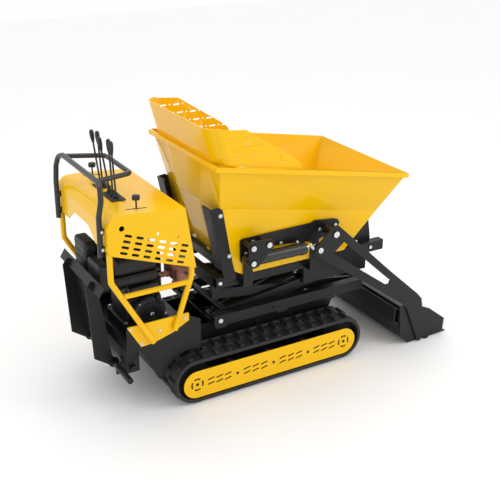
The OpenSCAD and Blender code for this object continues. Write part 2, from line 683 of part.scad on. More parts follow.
// Rod whose eye lies at l along +x; it reaches back to x = start
module piston_rod(r, start, l, eye_r, eye_w) {
    rotate([0, 90, 0]) translate([0, 0, start]) cylinder(r = r, h = l - start - eye_r * 0.5);
    bar_y(l, 0, eye_r, -eye_w / 2, eye_w / 2);
}
function slope(p, q) = atan2(q[1] - p[1], q[0] - p[0]);
module along(p, q) at_hub() translate([p[0], 0, p[1]]) rotate([0, -slope(p, q), 0]) children();

lift_l = norm(lift_eye_at - lift_base);
module lift_cylinder() along(lift_base, lift_eye_at) color(black)
    barrel(lift_barrel_r, lift_rod_r, lift_l - 62, 44, 12 + fit);
module lift_rod() along(lift_base, lift_eye_at) color(chrome)
    piston_rod(lift_rod_r, lift_barrel_r + 26, lift_l, 21, 44);

tip_l = norm(tip_eye - tip_base);
module tip_cylinder() along(tip_base, tip_eye) color(black)
    barrel(tip_barrel_r, tip_rod_r, tip_l - 58, 44, 12 + fit);
module tip_rod() along(tip_base, tip_eye) color(chrome)
    piston_rod(tip_rod_r, tip_barrel_r + 26, tip_l, 20, 44);

loader_l = norm(loader_eye - loader_base);
module loader_cylinders() along(loader_base, loader_eye) color(black) pair()
    translate([0, -loader_cyl_y, 0]) barrel(loader_barrel_r, loader_rod_r, loader_l - 52, 60, 12 + fit);
module loader_rods() along(loader_base, loader_eye) color(chrome) pair() {
    translate([0, -loader_cyl_y, 0]) piston_rod(loader_rod_r, loader_barrel_r + 26, loader_l, 19, 40);
    bar_y(loader_l, 0, 17, -loader_in + gap, -loader_cyl_y - 19);
}

// ---------- upper frame with the loader brackets ----------
module lift_frame() at_hub() color(black) {
    pair() lift_rail(upper_rail_z, upper_rail_x);
    // Rear and middle cross channels
    box([upper_rail_x[0], -rail_in, upper_rail_z], [upper_rail_x[0] + 40, rail_in, upper_rail_z + 53]);
    difference() {
        box([tip_base[0] - 40, -rail_in, upper_rail_z], [tip_base[0] + 12, rail_in, upper_rail_z + 53]);
        box([tip_base[0] - 34, -60, upper_rail_z - 1], [tip_base[0] + 13, 60, upper_rail_z + 54]);
    }
    // Ears, each with its pin, that the upper ends of the inner arms turn on
    pair() slab(arm_a_out - 2, arm_t - 2) polygon([[lift_x - 20, upper_rail_z + 1], [lift_x - 20, upper_pivot_z - 12],
        [lift_x - 8, upper_pivot_z - 24], [lift_x + 12, upper_pivot_z - 24], [lift_x + 20, upper_pivot_z - 12],
        [lift_x + 20, upper_rail_z + 1]]);
    pair() bar_y(lift_x, upper_pivot_z, pin_r, -arm_a_out + 2, -arm_b_out + arm_t + 3);
    pair() box([tip_base[0] - 35, -60, upper_rail_z + 1], [tip_base[0] + 14, -50, upper_rail_z + 48]);
    pair() box([tip_base[0] - 35, -50 + eps, upper_rail_z + 1], [tip_base[0] - 29, 0, upper_rail_z + 48]);
    bar_y(tip_base[0], tip_base[1], 12, -52, 52);
    // Guides of the upper rollers, hung under the rails
    pair() lift_rail(upper_pivot_z - rail_h / 2, guide_x);
    pair() box([guide_x[0], -rail_out, upper_pivot_z + rail_h / 2 - 1],
        [guide_x[1], -rail_out + rail_t, upper_rail_z + 1]);
    // Pins of the skip's hinge
    pair() bar_y(tip_hinge[0], tip_hinge[1], pin_r - 3, -rail_out - 4, -rail_in + 22);
    // Legs of the loader brackets
    pair() for (x = [324, 718]) box([x - 26, -bracket_y + bracket_t, upper_rail_z + 6],
        [x + 26, -rail_out, upper_rail_z + 14]);
}

module bracket2d() polygon([[279, 798], [292, 806], [690, 812], [716, 822], [838, 808], [858, 800],
    [868, 780], [846, 752], [800, 728], [742, 714], [744, upper_rail_z + 6], [692, upper_rail_z + 6],
    [692, 712], [620, 722], [470, 736], [380, 690], [350, 664], [350, upper_rail_z + 6],
    [298, upper_rail_z + 6], [298, 664], [280, 691]]);
module cheek2d() polygon([[278, 700], [278, 812], [296, 826], [330, 820], [404, 816], [420, 796],
    [412, 768], [352, 704], [330, 686], [308, 680], [288, 686]]);
cheek_pins = [[302, 787], [390, 788]];
bracket_bolts = [[345, 784], [308, 730], [509, 742], [741, 771], [838, 776]];
module loader_brackets() at_hub() color(black) pair() {
    difference() {
        slab(bracket_y, bracket_t) bracket2d();
        for (p = bracket_bolts) bar_y(p[0], p[1], 5, -bracket_y - 1, -bracket_y + bracket_t + 1);
    }
    slab(cheek_y, bracket_t) cheek2d();
    for (p = cheek_pins) bar_y(p[0], p[1], 13, -cheek_y + bracket_t, -bracket_y);
    bar_y(loader_base[0], loader_base[1], 12, -cheek_y, -bracket_y);
    // Pivot boss and pin of the loader arm, with its head
    bar_y(loader_pivot[0], loader_pivot[1], boss_r, -loader_in + gap, -bracket_y);
    bar_y(loader_pivot[0], loader_pivot[1], pin_r, -loader_out - gap, -loader_in + gap);
    bar_y(loader_pivot[0], loader_pivot[1], pin_r + 4, -loader_out - gap - 5, -loader_out - gap);
    for (p = cheek_pins) bar_y(p[0], p[1], 17, -cheek_y - 5, -cheek_y);
    bar_y(loader_base[0], loader_base[1], 17, -cheek_y - 5, -cheek_y);
    for (p = bracket_bolts) bar_y(p[0], p[1], 8, -bracket_y - 6, -bracket_y);
}

// ---------- skip ----------
function rim_z(x) = mix(rim_rear_z, rim_front_z, (x - rim_rear_x) / (rim_front_x - rim_rear_x));
function with_left(p) = concat(p, [for (i = [len(p) - 1:-1:0]) [p[i][0], -p[i][1], p[i][2]]]);
// Rings of the skip's outside, or of its inside when t is the sheet's thickness
function skip_rings(t, top) = [
    with_left([[262 + t, -14, skip_floor_z + t], [floor_rear_x + t, t - skip_w, skip_floor_z + t],
        [floor_front_x - t, t - skip_w, skip_floor_z + t]]),
    with_left([[234 + t, -26, skip_floor_z + 26], [254 + t, t - skip_w, skip_floor_z + 26],
        [floor_front_x + 28 - t, t - skip_w, skip_floor_z + 26]]),
    with_left([[154 + t, -124, fold_rear_z], [fold_rear_x + t, t - skip_w, fold_rear_z],
        [fold_front_x - t, t - skip_w, fold_front_z]]),
    with_left([[rim_rear_x + t, -190, rim_rear_z + top], [rim_rear_x + t, lip_out + t - rim_rear_w,
        rim_rear_z + top], [rim_front_x - t, lip_out + t - rim_front_w, rim_front_z + top]])];
// Rings of the rim's lip, drop below the rim and out from it
function lip_ring(drop, out, rear) = with_left([[rim_rear_x - rear, lip_out - out - rim_rear_w,
    rim_z(rim_rear_x - rear) - drop], [rim_front_x + out, lip_out - out - rim_front_w,
    rim_z(rim_front_x + out) - drop]]);
module rings_solid(rings) {
    n = len(rings[0]);
    m = len(rings);
    points = [for (r = rings) for (p = r) p];
    faces = concat([[for (i = [0:n - 1]) i]], [[for (i = [n - 1:-1:0]) (m - 1) * n + i]],
        [for (k = [0:m - 2], i = [0:n - 1], h = [0, 1])
            let (j = (i + 1) % n) h == 0 ? [k * n + i, (k + 1) * n + i, k * n + j]
                : [k * n + j, (k + 1) * n + i, (k + 1) * n + j]]);
    polyhedron(points = points, faces = faces, convexity = 4);
}
module skip() at_hub() color(yellow) difference() {
    union() {
        rings_solid(skip_rings(0, 0));
        difference() {
            rings_solid([lip_ring(lip_h, lip_out, lip_rear), lip_ring(0, 0.1, 0.1)]);
            rings_solid([lip_ring(lip_h + 1, lip_out - 3, lip_rear - 3), lip_ring(3, -2.5, -2)]);
        }
    }
    rings_solid(skip_rings(skip_t, 0.5));
}
// Hinge plates on the front slope and the ears of the tip cylinder
slope_lo = [floor_front_x + 28, skip_floor_z + 26];
slope_hi = [fold_front_x, fold_front_z];
module skip_hinge() at_hub() color(black) {
    pair() difference() {
        slab(rail_in - 2, 10) union() {
            polygon([slope_lo, mix(slope_lo, slope_hi, 0.97), [1128, 752], [1144, 650], [1150, 603],
                [tip_hinge[0] + 26, tip_hinge[1] + 4], [tip_hinge[0] - 26, tip_hinge[1] + 4], [1060, 606],
                [floor_front_x + 34, 606]]);
            translate(tip_hinge) circle(26);
        }
        bar_y(tip_hinge[0], tip_hinge[1], pin_r - 3 + fit, -rail_in, -rail_in + 30);
    }
    bar_y(1090, 640, 12, -rail_in + 12, rail_in - 12);
    pair() slab(tip_lug_y + 6, 10)
        polygon([[tip_eye[0] - 22, skip_floor_z], [tip_eye[0] - 20, tip_eye[1] - 12],
            [tip_eye[0] - 8, tip_eye[1] - 20], [tip_eye[0] + 12, tip_eye[1] - 18],
            [tip_eye[0] + 70, mix(slope_lo, slope_hi, (tip_eye[0] + 70 - slope_lo[0])
                / (slope_hi[0] - slope_lo[0]))[1]], slope_lo, [floor_front_x, skip_floor_z]]);
}
// Upstand on the rear rim, bent round both corners into two swept wings
guard_corner = 80;
function guard_ring(x, w, z) = with_left(concat([for (i = [6:-1:0])
    [x + guard_corner * (1 - cos(90 - i * 15)), guard_corner * (1 - sin(90 - i * 15)) - w, z]],
    [[700, -w, z]]));
module spill_guard() at_hub() color(yellow) {
    top = rim_rear_z + spill_h;
    rear_top_x = rim_rear_x - 47;
    low = rim_rear_z - 160;
    low_x = rim_rear_x + 47 * 160 / 175;
    difference() {
        intersection() {
            difference() {
                rings_solid([guard_ring(low_x, 368, low), guard_ring(rear_top_x, 361, top)]);
                rings_solid([guard_ring(low_x + 4, 364, low - 1), guard_ring(rear_top_x + 4, 357, top + 1)]);
            }
            slab(400, 800) polygon([[rim_rear_x - 80, rim_z(rim_rear_x - 80) + gap], [rim_rear_x - 80, top + 5],
                [rear_top_x + 40, top + 5], [rear_top_x + 78, top - 8], [rear_top_x + 192, top - 20],
                [548, 1196], [572, 1176], [590, 1148], [588, rim_z(588) + gap]]);
        }
        for (r = [0:3], k = [0:4]) if (k < 2 + r)
            translate([196 + r * 20 + k * 76, 0, 1338 - r * 46 - k * 3]) rotate([90, 0, 0])
                translate([0, 0, -500]) linear_extrude(1000) {
                    slot2d(38, 9, $fn = 16);
                    translate([38, 0]) circle(5, $fn = 16);
                }
    }
    // Flanges that lie on the rim
    pair() slab(378, 16) polygon([[214, rim_z(214) + gap], [214, rim_z(214) + 5], [586, rim_z(586) + 5],
        [586, rim_z(586) + gap]]);
}
module skip_uprights() at_hub() color(black) difference() {
    union() {
        // Rear and side leaves of the angles, leaning with the skip's rear edges
        pair() difference() {
            slab(skip_w + upright_t, 82) polygon([[118, 984], [164, 990], [188, 974], [238, 690],
                [258, 620], [258, upper_rail_z + rail_h + gap], [196, upper_rail_z + rail_h + gap]]);
            slab(skip_w, 90) polygon([[124, 1010], [190, 1010], [300, 800], [300, 540], [204, 540]]);
        }
        // Cross channel between them
        box([178, -skip_w + 77, 664], [212, skip_w - 77, 704]);
    }
    rings_solid(skip_rings(-gap, 0.5));
}
module skip_bolts() at_hub() color(zinc) pair() {
    for (p = [[176, 946], [222, 729]]) bar_y(p[0], p[1], 9, -skip_w - upright_t - 6, -skip_w - upright_t);
}

// ---------- loader ----------
module loader_arm2d() difference() {
    polygon([[783, 819], [1129, 493], [1337, 304], [1368, 268], [1380, 205], [1440, 24], [1436, 2],
        [1363, 2], [1270, 224], [1240, 261], [1001, 435], [659, 678], [642, 700], [650, 722], [752, 812]]);
    translate(loader_pivot) circle(pin_r + fit);
    polygon([[822, 722], [758, 669], [1112, 411], [1134, 412], [1140, 432], [1116, 452]]);
    translate([1400, 2]) circle(20);
}
module loader_arms() at_hub() color(black) pair() {
    slab(loader_out, loader_t) loader_arm2d();
    bar_y(loader_eye[0], loader_eye[1], 17, -loader_out - 5, -loader_out);
}
// Shovel: back, floor, cheeks and a cutting edge, between the arms
module shovel() at_hub() color(black) {
    pair() slab(shovel_w, 8) polygon([[1228, 246], [1262, 246], [1393, 205], [1446, 180], [1559, 92],
        [1553, 8], [1440, 4], [1300, 4], [1242, 58]]);
    translate([0, shovel_w - 8, 0]) rotate([90, 0, 0]) linear_extrude(2 * shovel_w - 16)
        polygon([[1228, 246], [1236, 246], [1240, 120], [1262, 62], [1310, 14], [1540, 10],
            [front_reach, 4], [front_reach, 1], [1540, 4], [1300, 4], [1242, 58], [1230, 118]]);
    // Stiffening channel behind the back
    translate([0, shovel_w - 8, 0]) rotate([90, 0, 0]) linear_extrude(2 * shovel_w - 16)
        polygon([[1229, 232], [1200, 240], [1196, 156], [1229, 132], [1229, 138], [1202, 160],
            [1206, 233], [1229, 226]]);
}

chassis();
engine_deck();
hydraulic_tank();
track_beam_right();
track_beam_left();
track_cover_right();
track_cover_left();
belt_right();
belt_left();
lift_base();
frame_pins();
engine();
fuel_tank();
air_cleaner();
muffler();
hydraulics();
hood();
lever_boots();
handlebar();
guard_right();
guard_left();
body_bolts();
sprocket_right();
sprocket_left();
idler_right();
idler_left();
road_roller_right_1();
road_roller_left_1();
road_roller_right_2();
road_roller_left_2();
road_roller_right_3();
road_roller_left_3();
fuel_cap();
platform();
lift_arms_outer();
lift_arms_inner();
lift_rollers_upper();
lift_rollers_lower();
lift_cylinder();
lift_rod();
lift_frame();
loader_brackets();
tip_cylinder();
tip_rod();
skip();
skip_hinge();
spill_guard();
skip_uprights();
skip_bolts();
loader_arms();
shovel();
loader_cylinders();
loader_rods();
travel_lever_left();
travel_lever_right();
lift_lever();
tip_lever();
loader_lever();
throttle_lever();
choke_lever();
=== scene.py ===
import math

import bmesh
import bpy
from mathutils import Matrix, Vector


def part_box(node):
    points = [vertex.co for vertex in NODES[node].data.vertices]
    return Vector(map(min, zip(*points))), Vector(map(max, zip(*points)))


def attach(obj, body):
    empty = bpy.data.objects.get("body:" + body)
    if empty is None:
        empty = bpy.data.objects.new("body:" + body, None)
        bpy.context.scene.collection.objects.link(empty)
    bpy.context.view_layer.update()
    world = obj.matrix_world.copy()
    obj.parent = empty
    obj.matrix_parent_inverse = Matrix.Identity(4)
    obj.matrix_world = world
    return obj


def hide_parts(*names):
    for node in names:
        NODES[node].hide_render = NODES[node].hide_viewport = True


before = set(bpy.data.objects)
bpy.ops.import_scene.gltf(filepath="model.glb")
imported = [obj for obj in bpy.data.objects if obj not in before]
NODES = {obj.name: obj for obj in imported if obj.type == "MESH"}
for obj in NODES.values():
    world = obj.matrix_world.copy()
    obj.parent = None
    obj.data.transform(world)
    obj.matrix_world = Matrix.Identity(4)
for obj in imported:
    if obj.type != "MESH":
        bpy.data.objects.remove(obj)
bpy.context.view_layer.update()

MM = 0.001
# How far from an edge the finish shows rubbed wear and a painted highlight, mm
EDGE_MM = 2.5
RIGHT, LEFT = -1, 1
SIDES = (("right", RIGHT), ("left", LEFT))


def middle(node):
    """The middle of a CAD node's box, in metres."""
    low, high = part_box(node)
    return (low + high) / 2


# The rear hub axis is the design's own origin: every size below is in millimetres from there
HUB = middle("sprocket_right").x
PITCH = (middle("idler_right").x - HUB) / MM


def at(x, y, z):
    """A point of the design, in millimetres, in the row's frame in metres."""
    return Vector((HUB + x * MM, y * MM, z * MM))


# ---------------------------------------------------------------- camera
CAMERA_PLACE = (-1685.6, -3793.4, 2478.4)
HEADING, DROP = math.radians(29.91), math.radians(21.74)


def camera():
    """A long lens beyond the right rear corner, looking down a little."""
    cam = bpy.data.objects.new("camera", bpy.data.cameras.new("camera"))
    bpy.context.scene.collection.objects.link(cam)
    bpy.context.scene.camera = cam
    cam.location = at(*CAMERA_PLACE)
    look = Vector((math.sin(HEADING) * math.cos(DROP), math.cos(HEADING) * math.cos(DROP), -math.sin(DROP)))
    cam.rotation_mode = "QUATERNION"
    cam.rotation_quaternion = look.to_track_quat("-Z", "Y")
    cam.data.lens = 64.4
    cam.data.sensor_width = 36
    cam.data.shift_x = 0.0043
    cam.data.shift_y = -0.0494
    cam.data.clip_end = 100


camera()


# ---------------------------------------------------------------- materials
def linear(code):
    """An sRGB hex colour as linear RGBA."""
    parts = [int(code[i:i + 2], 16) / 255 for i in (1, 3, 5)]
    return [c / 12.92 if c <= 0.04045 else ((c + 0.055) / 1.055) ** 2.4 for c in parts] + [1.0]


def add(tree, kind, links=None, **settings):
    """A shader node of that kind. Settings go to its fields or, with _ for a space, its sockets;
    links are {input: (node, output)}."""
    node = tree.nodes.new(kind)
    for name, value in settings.items():
        if hasattr(node, name):
            setattr(node, name, value)
        else:
            node.inputs[name.replace("_", " ")].default_value = value
    for name, (source, output) in (links or {}).items():
        tree.links.new(source.outputs[output], node.inputs[name])
    return node


def finish(name, colours, rough, bumps=(), patch_mm=60, edge_wear_and_highlight=None, dust=None, **shader_values):
    """A finish: two close colours in soft patches, a range of roughness, bumps as (size mm, height mm),
    a paler edge colour and its strength, standing for rubbed wear and for a painted edge highlight, and dust
    on what faces up."""
    made = bpy.data.materials.new(name)
    made.use_nodes = True
    tree = made.node_tree
    shader = tree.nodes["Principled BSDF"]
    for socket, value in shader_values.items():
        shader.inputs[socket.replace("_", " ")].default_value = value
    place = add(tree, "ShaderNodeTexCoord")
    patches = add(tree, "ShaderNodeTexNoise", {"Vector": (place, "Object")},
                  Scale=1000 / patch_mm, Detail=4.0, Roughness=0.6)
    share = add(tree, "ShaderNodeMapRange", {"Value": (patches, "Fac")}, From_Min=0.35, From_Max=0.65)
    colour = add(tree, "ShaderNodeMix", {"Factor": (share, "Result")}, data_type="RGBA",
                 A=linear(colours[0]), B=linear(colours[1]))
    if dust:
        facing = add(tree, "ShaderNodeNewGeometry")
        up = add(tree, "ShaderNodeSeparateXYZ", {"Vector": (facing, "Normal")})
        grain = add(tree, "ShaderNodeTexNoise", {"Vector": (place, "Object")}, Scale=45.0, Detail=6.0)
        lying = add(tree, "ShaderNodeMath", {0: (up, "Z"), 1: (grain, "Fac")}, operation="MULTIPLY")
        much = add(tree, "ShaderNodeMapRange", {"Value": (lying, "Value")}, From_Min=0.15, From_Max=0.75,
                   To_Max=dust[1])
        colour = add(tree, "ShaderNodeMix", {"Factor": (much, "Result"), "A": (colour, "Result")},
                     data_type="RGBA", B=linear(dust[0]))
    # Paler colour along the edges: rubbed wear on the rubber, running gear and casting, a painted highlight
    # where edges catch the light on the enamel and the powder coat
    if edge_wear_and_highlight:
        facing = add(tree, "ShaderNodeNewGeometry")
        rolled = add(tree, "ShaderNodeBevel", samples=4, Radius=EDGE_MM * MM)
        turn = add(tree, "ShaderNodeVectorMath", {0: (rolled, "Normal"), 1: (facing, "Normal")},
                   operation="DOT_PRODUCT")
        specks = add(tree, "ShaderNodeTexNoise", {"Vector": (place, "Object")}, Scale=90.0, Detail=3.0)
        near = add(tree, "ShaderNodeMapRange", {"Value": (turn, "Value")}, From_Min=0.99, From_Max=0.8,
                   To_Max=edge_wear_and_highlight[1])
        edge_wear_and_highlight_mask = add(tree, "ShaderNodeMath", {0: (near, "Result"), 1: (specks, "Fac")},
                     operation="MULTIPLY")
        colour = add(tree, "ShaderNodeMix", {"Factor": (edge_wear_and_highlight_mask, "Value"), "A": (colour, "Result")},
                     data_type="RGBA", B=linear(edge_wear_and_highlight[0]))
    tree.links.new(colour.outputs["Result"], shader.inputs["Base Color"])
    streaks = add(tree, "ShaderNodeTexNoise", {"Vector": (place, "Object")},
                  Scale=1600 / patch_mm, Detail=5.0)
    shine = add(tree, "ShaderNodeMapRange", {"Value": (streaks, "Fac")}, From_Min=0.3, From_Max=0.7,
                To_Min=rough[0], To_Max=rough[1])
    tree.links.new(shine.outputs["Result"], shader.inputs["Roughness"])
    last = None
    for size, height in bumps:
        grain = add(tree, "ShaderNodeTexNoise", {"Vector": (place, "Object")},
                    Scale=1000 / size, Detail=2.0)
        links = {"Height": (grain, "Fac")}
        if last:
            links["Normal"] = (last, "Normal")
        last = add(tree, "ShaderNodeBump", links, Strength=1.0, Distance=height * MM)
    if last:
        tree.links.new(last.outputs["Normal"], shader.inputs["Normal"])
    return made


# Glossy enamel sprayed on sheet steel: clean deep yellow with a trace of orange peel, its edges painted
# paler yellow as a highlight
ENAMEL = finish("glossy_enamel_on_sheet_steel", ("#F1BB00", "#F3BE02"), (0.16, 0.22),
                bumps=((9, 0.014), (2.5, 0.004)), patch_mm=400, edge_wear_and_highlight=("#FFD964", 0.4),
                Specular_IOR_Level=0.3)
# Powder coat baked on plate: near black, satin, a fine pebbled skin, paler along the edges as a painted
# highlight with a little rubbed wear
POWDER = finish("powder_coat_on_steel_plate", ("#131314", "#171718"), (0.34, 0.46),
                bumps=((1.8, 0.015),), patch_mm=150, edge_wear_and_highlight=("#6A6865", 0.6), dust=("#3A3835", 0.05),
                Specular_IOR_Level=0.32)
# Drawn steel tube under satin black powder coat: smoother and a little shinier than the plates
TUBE_BLACK = finish("powder_coat_on_drawn_tube", ("#171718", "#1C1C1D"), (0.3, 0.38),
                    bumps=((1.4, 0.008),), patch_mm=180, Coat_Weight=0.2, Coat_Roughness=0.25)
# Moulded nylon covers: charcoal with an even spark-eroded grain
MOULDED = finish("moulded_nylon_covers", ("#151516", "#1A1A1B"), (0.42, 0.55),
                 bumps=((1.3, 0.03),), patch_mm=120, dust=("#45423D", 0.08))
# Vulcanised rubber: matt grey-black, mould texture, rubbed paler on its edges
RUBBER = finish("vulcanised_rubber", ("#1A1A1B", "#222223"), (0.55, 0.72),
                bumps=((6, 0.08), (1.5, 0.03)), patch_mm=70, edge_wear_and_highlight=("#4A4846", 0.9), dust=("#3F3C37", 0.18))
# Cast and machined iron running gear, painted dark, rubbed grey where it turns
CAST_IRON = finish("cast_iron_running_gear", ("#1E1E1F", "#29292A"), (0.45, 0.65),
                   bumps=((4, 0.15), (1.5, 0.04)), patch_mm=50, edge_wear_and_highlight=("#8B8883", 0.8), Metallic=0.3)
# Die-cast aluminium under heat-proof black paint
CASTING = finish("painted_aluminium_casting", ("#161617", "#1D1D1E"), (0.38, 0.52),
                 bumps=((2.5, 0.06),), patch_mm=60, edge_wear_and_highlight=("#77756F", 0.4))
# Bright zinc on bolts and pins: pale silver, faintly cloudy
ZINC = finish("bright_zinc_plating", ("#E3E4E5", "#CDD0D2"), (0.26, 0.42),
              bumps=((3, 0.01),), patch_mm=12, Metallic=0.85)
# Ground hard chrome on the rods: nearly a mirror
CHROME = finish("ground_hard_chrome", ("#E6E7E8", "#DCDDDE"), (0.06, 0.12), patch_mm=40, Metallic=1.0)
# Mild steel heat shield browned by the exhaust
HEATED = finish("heat_tinted_steel", ("#8A5B4C", "#A87A69"), (0.35, 0.5),
                bumps=((5, 0.03),), patch_mm=35, Metallic=0.4)
# Phenolic of the lever handles and knobs: hard, smooth, black
PHENOLIC = finish("phenolic_grips", ("#18181A", "#1D1D1F"), (0.28, 0.36), bumps=((3, 0.01),), patch_mm=60)
# Hydraulic hose cover: extruded rubber with a fine cloth imprint
HOSE = finish("hydraulic_hose_cover", ("#1A1A1B", "#222223"), (0.5, 0.62),
              bumps=((1.8, 0.04),), patch_mm=40)
# Pale matt studio floor
FLOOR = finish("pale_studio_floor", ("#FAFAFA", "#FBFBFB"), (0.8, 0.9), bumps=((40, 0.02),), patch_mm=900,
               Specular_IOR_Level=0.2)


# ---------------------------------------------------------------- making pieces
def put(piece, material, body, replaced=None, bevel=0.0, segments=2, angle=35, smooth=True):
    """Gives a piece its finish, softened edges and body, and the CAD node that it takes the place of."""
    if piece.name not in bpy.context.scene.collection.objects:
        bpy.context.scene.collection.objects.link(piece)
    piece.data.materials.clear()
    piece.data.materials.append(material)
    if bevel:
        soften(piece, bevel, segments, angle)
    elif smooth:
        shade(piece, angle)
    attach(piece, body)
    if replaced:
        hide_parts(replaced)


def shade(piece, angle):
    """Smooth shading, with edges sharper than that many degrees left crisp."""
    piece.data.polygons.foreach_set("use_smooth", [True] * len(piece.data.polygons))
    sharp = math.radians(angle)
    made = bmesh.new()
    made.from_mesh(piece.data)
    for edge in made.edges:
        edge.smooth = len(edge.link_faces) == 2 and edge.calc_face_angle(0) <= sharp
    made.to_mesh(piece.data)
    made.free()


def soften(piece, width, segments, angle):
    """A small rolled edge of that width in millimetres."""
    edge = piece.modifiers.new("edges", "BEVEL")
    edge.width = width * MM
    edge.segments = segments
    edge.limit_method = "ANGLE"
    edge.angle_limit = math.radians(angle)
    edge.miter_outer = "MITER_ARC"
    piece.data.polygons.foreach_set("use_smooth", [True] * len(piece.data.polygons))
    piece.modifiers.new("normals", "WEIGHTED_NORMAL").keep_sharp = True


def from_bmesh(name, made):
    """An object of that name from a bmesh, its faces turned outwards."""
    mesh = bpy.data.meshes.new(name)
    bmesh.ops.recalc_face_normals(made, faces=made.faces)
    made.to_mesh(mesh)
    made.free()
    return bpy.data.objects.new(name, mesh)


def joined(name, makers):
    """One mesh from several makers, each adding its shape to the same bmesh."""
    made = bmesh.new()
    for maker in makers:
        maker(made)
    return from_bmesh(name, made)


def block(low, high, round_mm=0.0, segments=3):
    """A maker of a box between two corners, its edges rounded."""
    def maker(made):
        a, b = at(*low), at(*high)
        done = bmesh.ops.create_cube(made, size=1.0)
        bmesh.ops.transform(made, verts=done["verts"],
                            matrix=Matrix.Translation((a + b) / 2) @ Matrix.Diagonal((*(b - a), 1)))
        if round_mm:
            edges = list({e for v in done["verts"] for e in v.link_edges})
            bmesh.ops.bevel(made, geom=edges, offset=round_mm * MM, segments=segments, profile=0.5,
                            affect="EDGES", clamp_overlap=True)
    return maker


def turned(profile, centre, axis=(0, 1, 0), steps=40):
    """A maker of a turned shape: its profile as (radius, distance along the axis) in mm from the centre."""
    def maker(made):
        turn = Vector((0, 0, 1)).rotation_difference(Vector(axis)).to_matrix().to_4x4()
        place = Matrix.Translation(at(*centre)) @ turn
        rings = []
        for radius, height in profile:
            if radius <= 0:
                rings.append([made.verts.new(place @ Vector((0, 0, height * MM)))])
                continue
            ring = []
            for i in range(steps):
                a = 2 * math.pi * i / steps
                ring.append(made.verts.new(place @ Vector((radius * MM * math.cos(a),
                                                           radius * MM * math.sin(a), height * MM))))
            rings.append(ring)
        for low, high in zip(rings, rings[1:]):
            for i in range(steps):
                j = (i + 1) % steps
                if len(low) == 1 and len(high) > 1:
                    made.faces.new((low[0], high[i], high[j]))
                elif len(high) == 1 and len(low) > 1:
                    made.faces.new((low[i], low[j], high[0]))
                elif len(low) > 1:
                    made.faces.new((low[i], low[j], high[j], high[i]))
        for ring, flip in ((rings[0], True), (rings[-1], False)):
            if len(ring) > 1:
                made.faces.new(list(reversed(ring)) if flip else ring)
    return maker


def fillet(points, radius, steps=6):
    """Points in mm with each corner rounded to that radius."""
    points = [Vector(p) for p in points]
    out = [points[0]]
    for before, here, after in zip(points, points[1:], points[2:]):
        a, b = (before - here), (after - here)
        half = a.angle(b) / 2
        reach = min(radius / math.tan(half), a.length * 0.49, b.length * 0.49)
        start, end = here + a.normalized() * reach, here + b.normalized() * reach
        for i in range(steps + 1):
            t = i / steps
            out.append(start.lerp(here, t).lerp(here.lerp(end, t), t))
    return out + [points[-1]]


def pipe(points, radius, bend, steps=20):
    """A maker of a round tube along points in mm, with bends of that radius."""
    def maker(made):
        path = [at(*p) for p in fillet(points, bend)]
        path = [p for i, p in enumerate(path) if i == 0 or (p - path[i - 1]).length > 1e-6]
        tangent = (path[1] - path[0]).normalized()
        side = tangent.orthogonal().normalized()
        rings = []
        for i, p in enumerate(path):
            ahead = (path[min(i + 1, len(path) - 1)] - path[max(i - 1, 0)]).normalized()
            side = (side - ahead * side.dot(ahead)).normalized()
            other = ahead.cross(side)
            rings.append([made.verts.new(p + (side * math.cos(a) + other * math.sin(a)) * radius * MM)
                          for a in (2 * math.pi * k / steps for k in range(steps))])
        for low, high in zip(rings, rings[1:]):
            for i in range(steps):
                j = (i + 1) % steps
                made.faces.new((low[i], low[j], high[j], high[i]))
        made.faces.new(list(reversed(rings[0])))
        made.faces.new(rings[-1])
    return maker


def plate(name, outline, y0, y1, holes=(), roll=0.8):
    """A flat plate cut from sheet between y0 and y1, with its outline in the x-z plane and rolled edges."""
    drawn = bpy.data.curves.new(name, "CURVE")
    drawn.dimensions = "2D"
    drawn.fill_mode = "BOTH"
    drawn.extrude = (abs(y1 - y0) / 2 - roll) * MM
    drawn.bevel_depth = roll * MM
    drawn.offset = -roll * MM
    drawn.bevel_resolution = 1
    for loop in (outline, *holes):
        spline = drawn.splines.new("POLY")
        spline.points.add(len(loop) - 1)
        for point, (x, z) in zip(spline.points, loop):
            point.co = (x * MM, z * MM, 0, 1)
        spline.use_cyclic_u = True
    drawing = bpy.data.objects.new(name + "_drawing", drawn)
    bpy.context.scene.collection.objects.link(drawing)
    bpy.context.view_layer.update()
    mesh = bpy.data.meshes.new_from_object(drawing.evaluated_get(bpy.context.evaluated_depsgraph_get()))
    bpy.data.objects.remove(drawing)
    mesh.transform(Matrix.Translation(at(0, (y0 + y1) / 2, 0)) @ Matrix.Rotation(math.pi / 2, 4, "X"))
    return bpy.data.objects.new(name, mesh)


def circle(x, z, radius, steps=28, start=0, sweep=360):
    """Points of a circle, or of an arc from start over sweep degrees."""
    count = steps if sweep == 360 else steps + 1
    return [(x + radius * math.cos(math.radians(start + sweep * i / steps)),
             z + radius * math.sin(math.radians(start + sweep * i / steps))) for i in range(count)]


def slot_outline(x, z, length, width, tilt):
    """A slot with round ends, length over all, turned by tilt degrees."""
    half, r = (length - width) / 2, width / 2
    points = circle(half, 0, r, 10, -90, 180) + circle(-half, 0, r, 10, 90, 180)
    c, s = math.cos(math.radians(tilt)), math.sin(math.radians(tilt))
    return [(x + a * c - b * s, z + a * s + b * c) for a, b in points]


def rounded(outline, radius, steps=4):
    """An outline with its corners rounded."""
    out = []
    count = len(outline)
    for i in range(count):
        before, here, after = (Vector(outline[(i + k) % count]) for k in (-1, 0, 1))
        a, b = before - here, after - here
        half = a.angle(b) / 2
        reach = min(radius / max(math.tan(half), 1e-3), a.length * 0.45, b.length * 0.45)
        start, end = here + a.normalized() * reach, here + b.normalized() * reach
        for k in range(steps + 1):
            t = k / steps
            p = start.lerp(here, t).lerp(here.lerp(end, t), t)
            out.append((p.x, p.y))
    return out


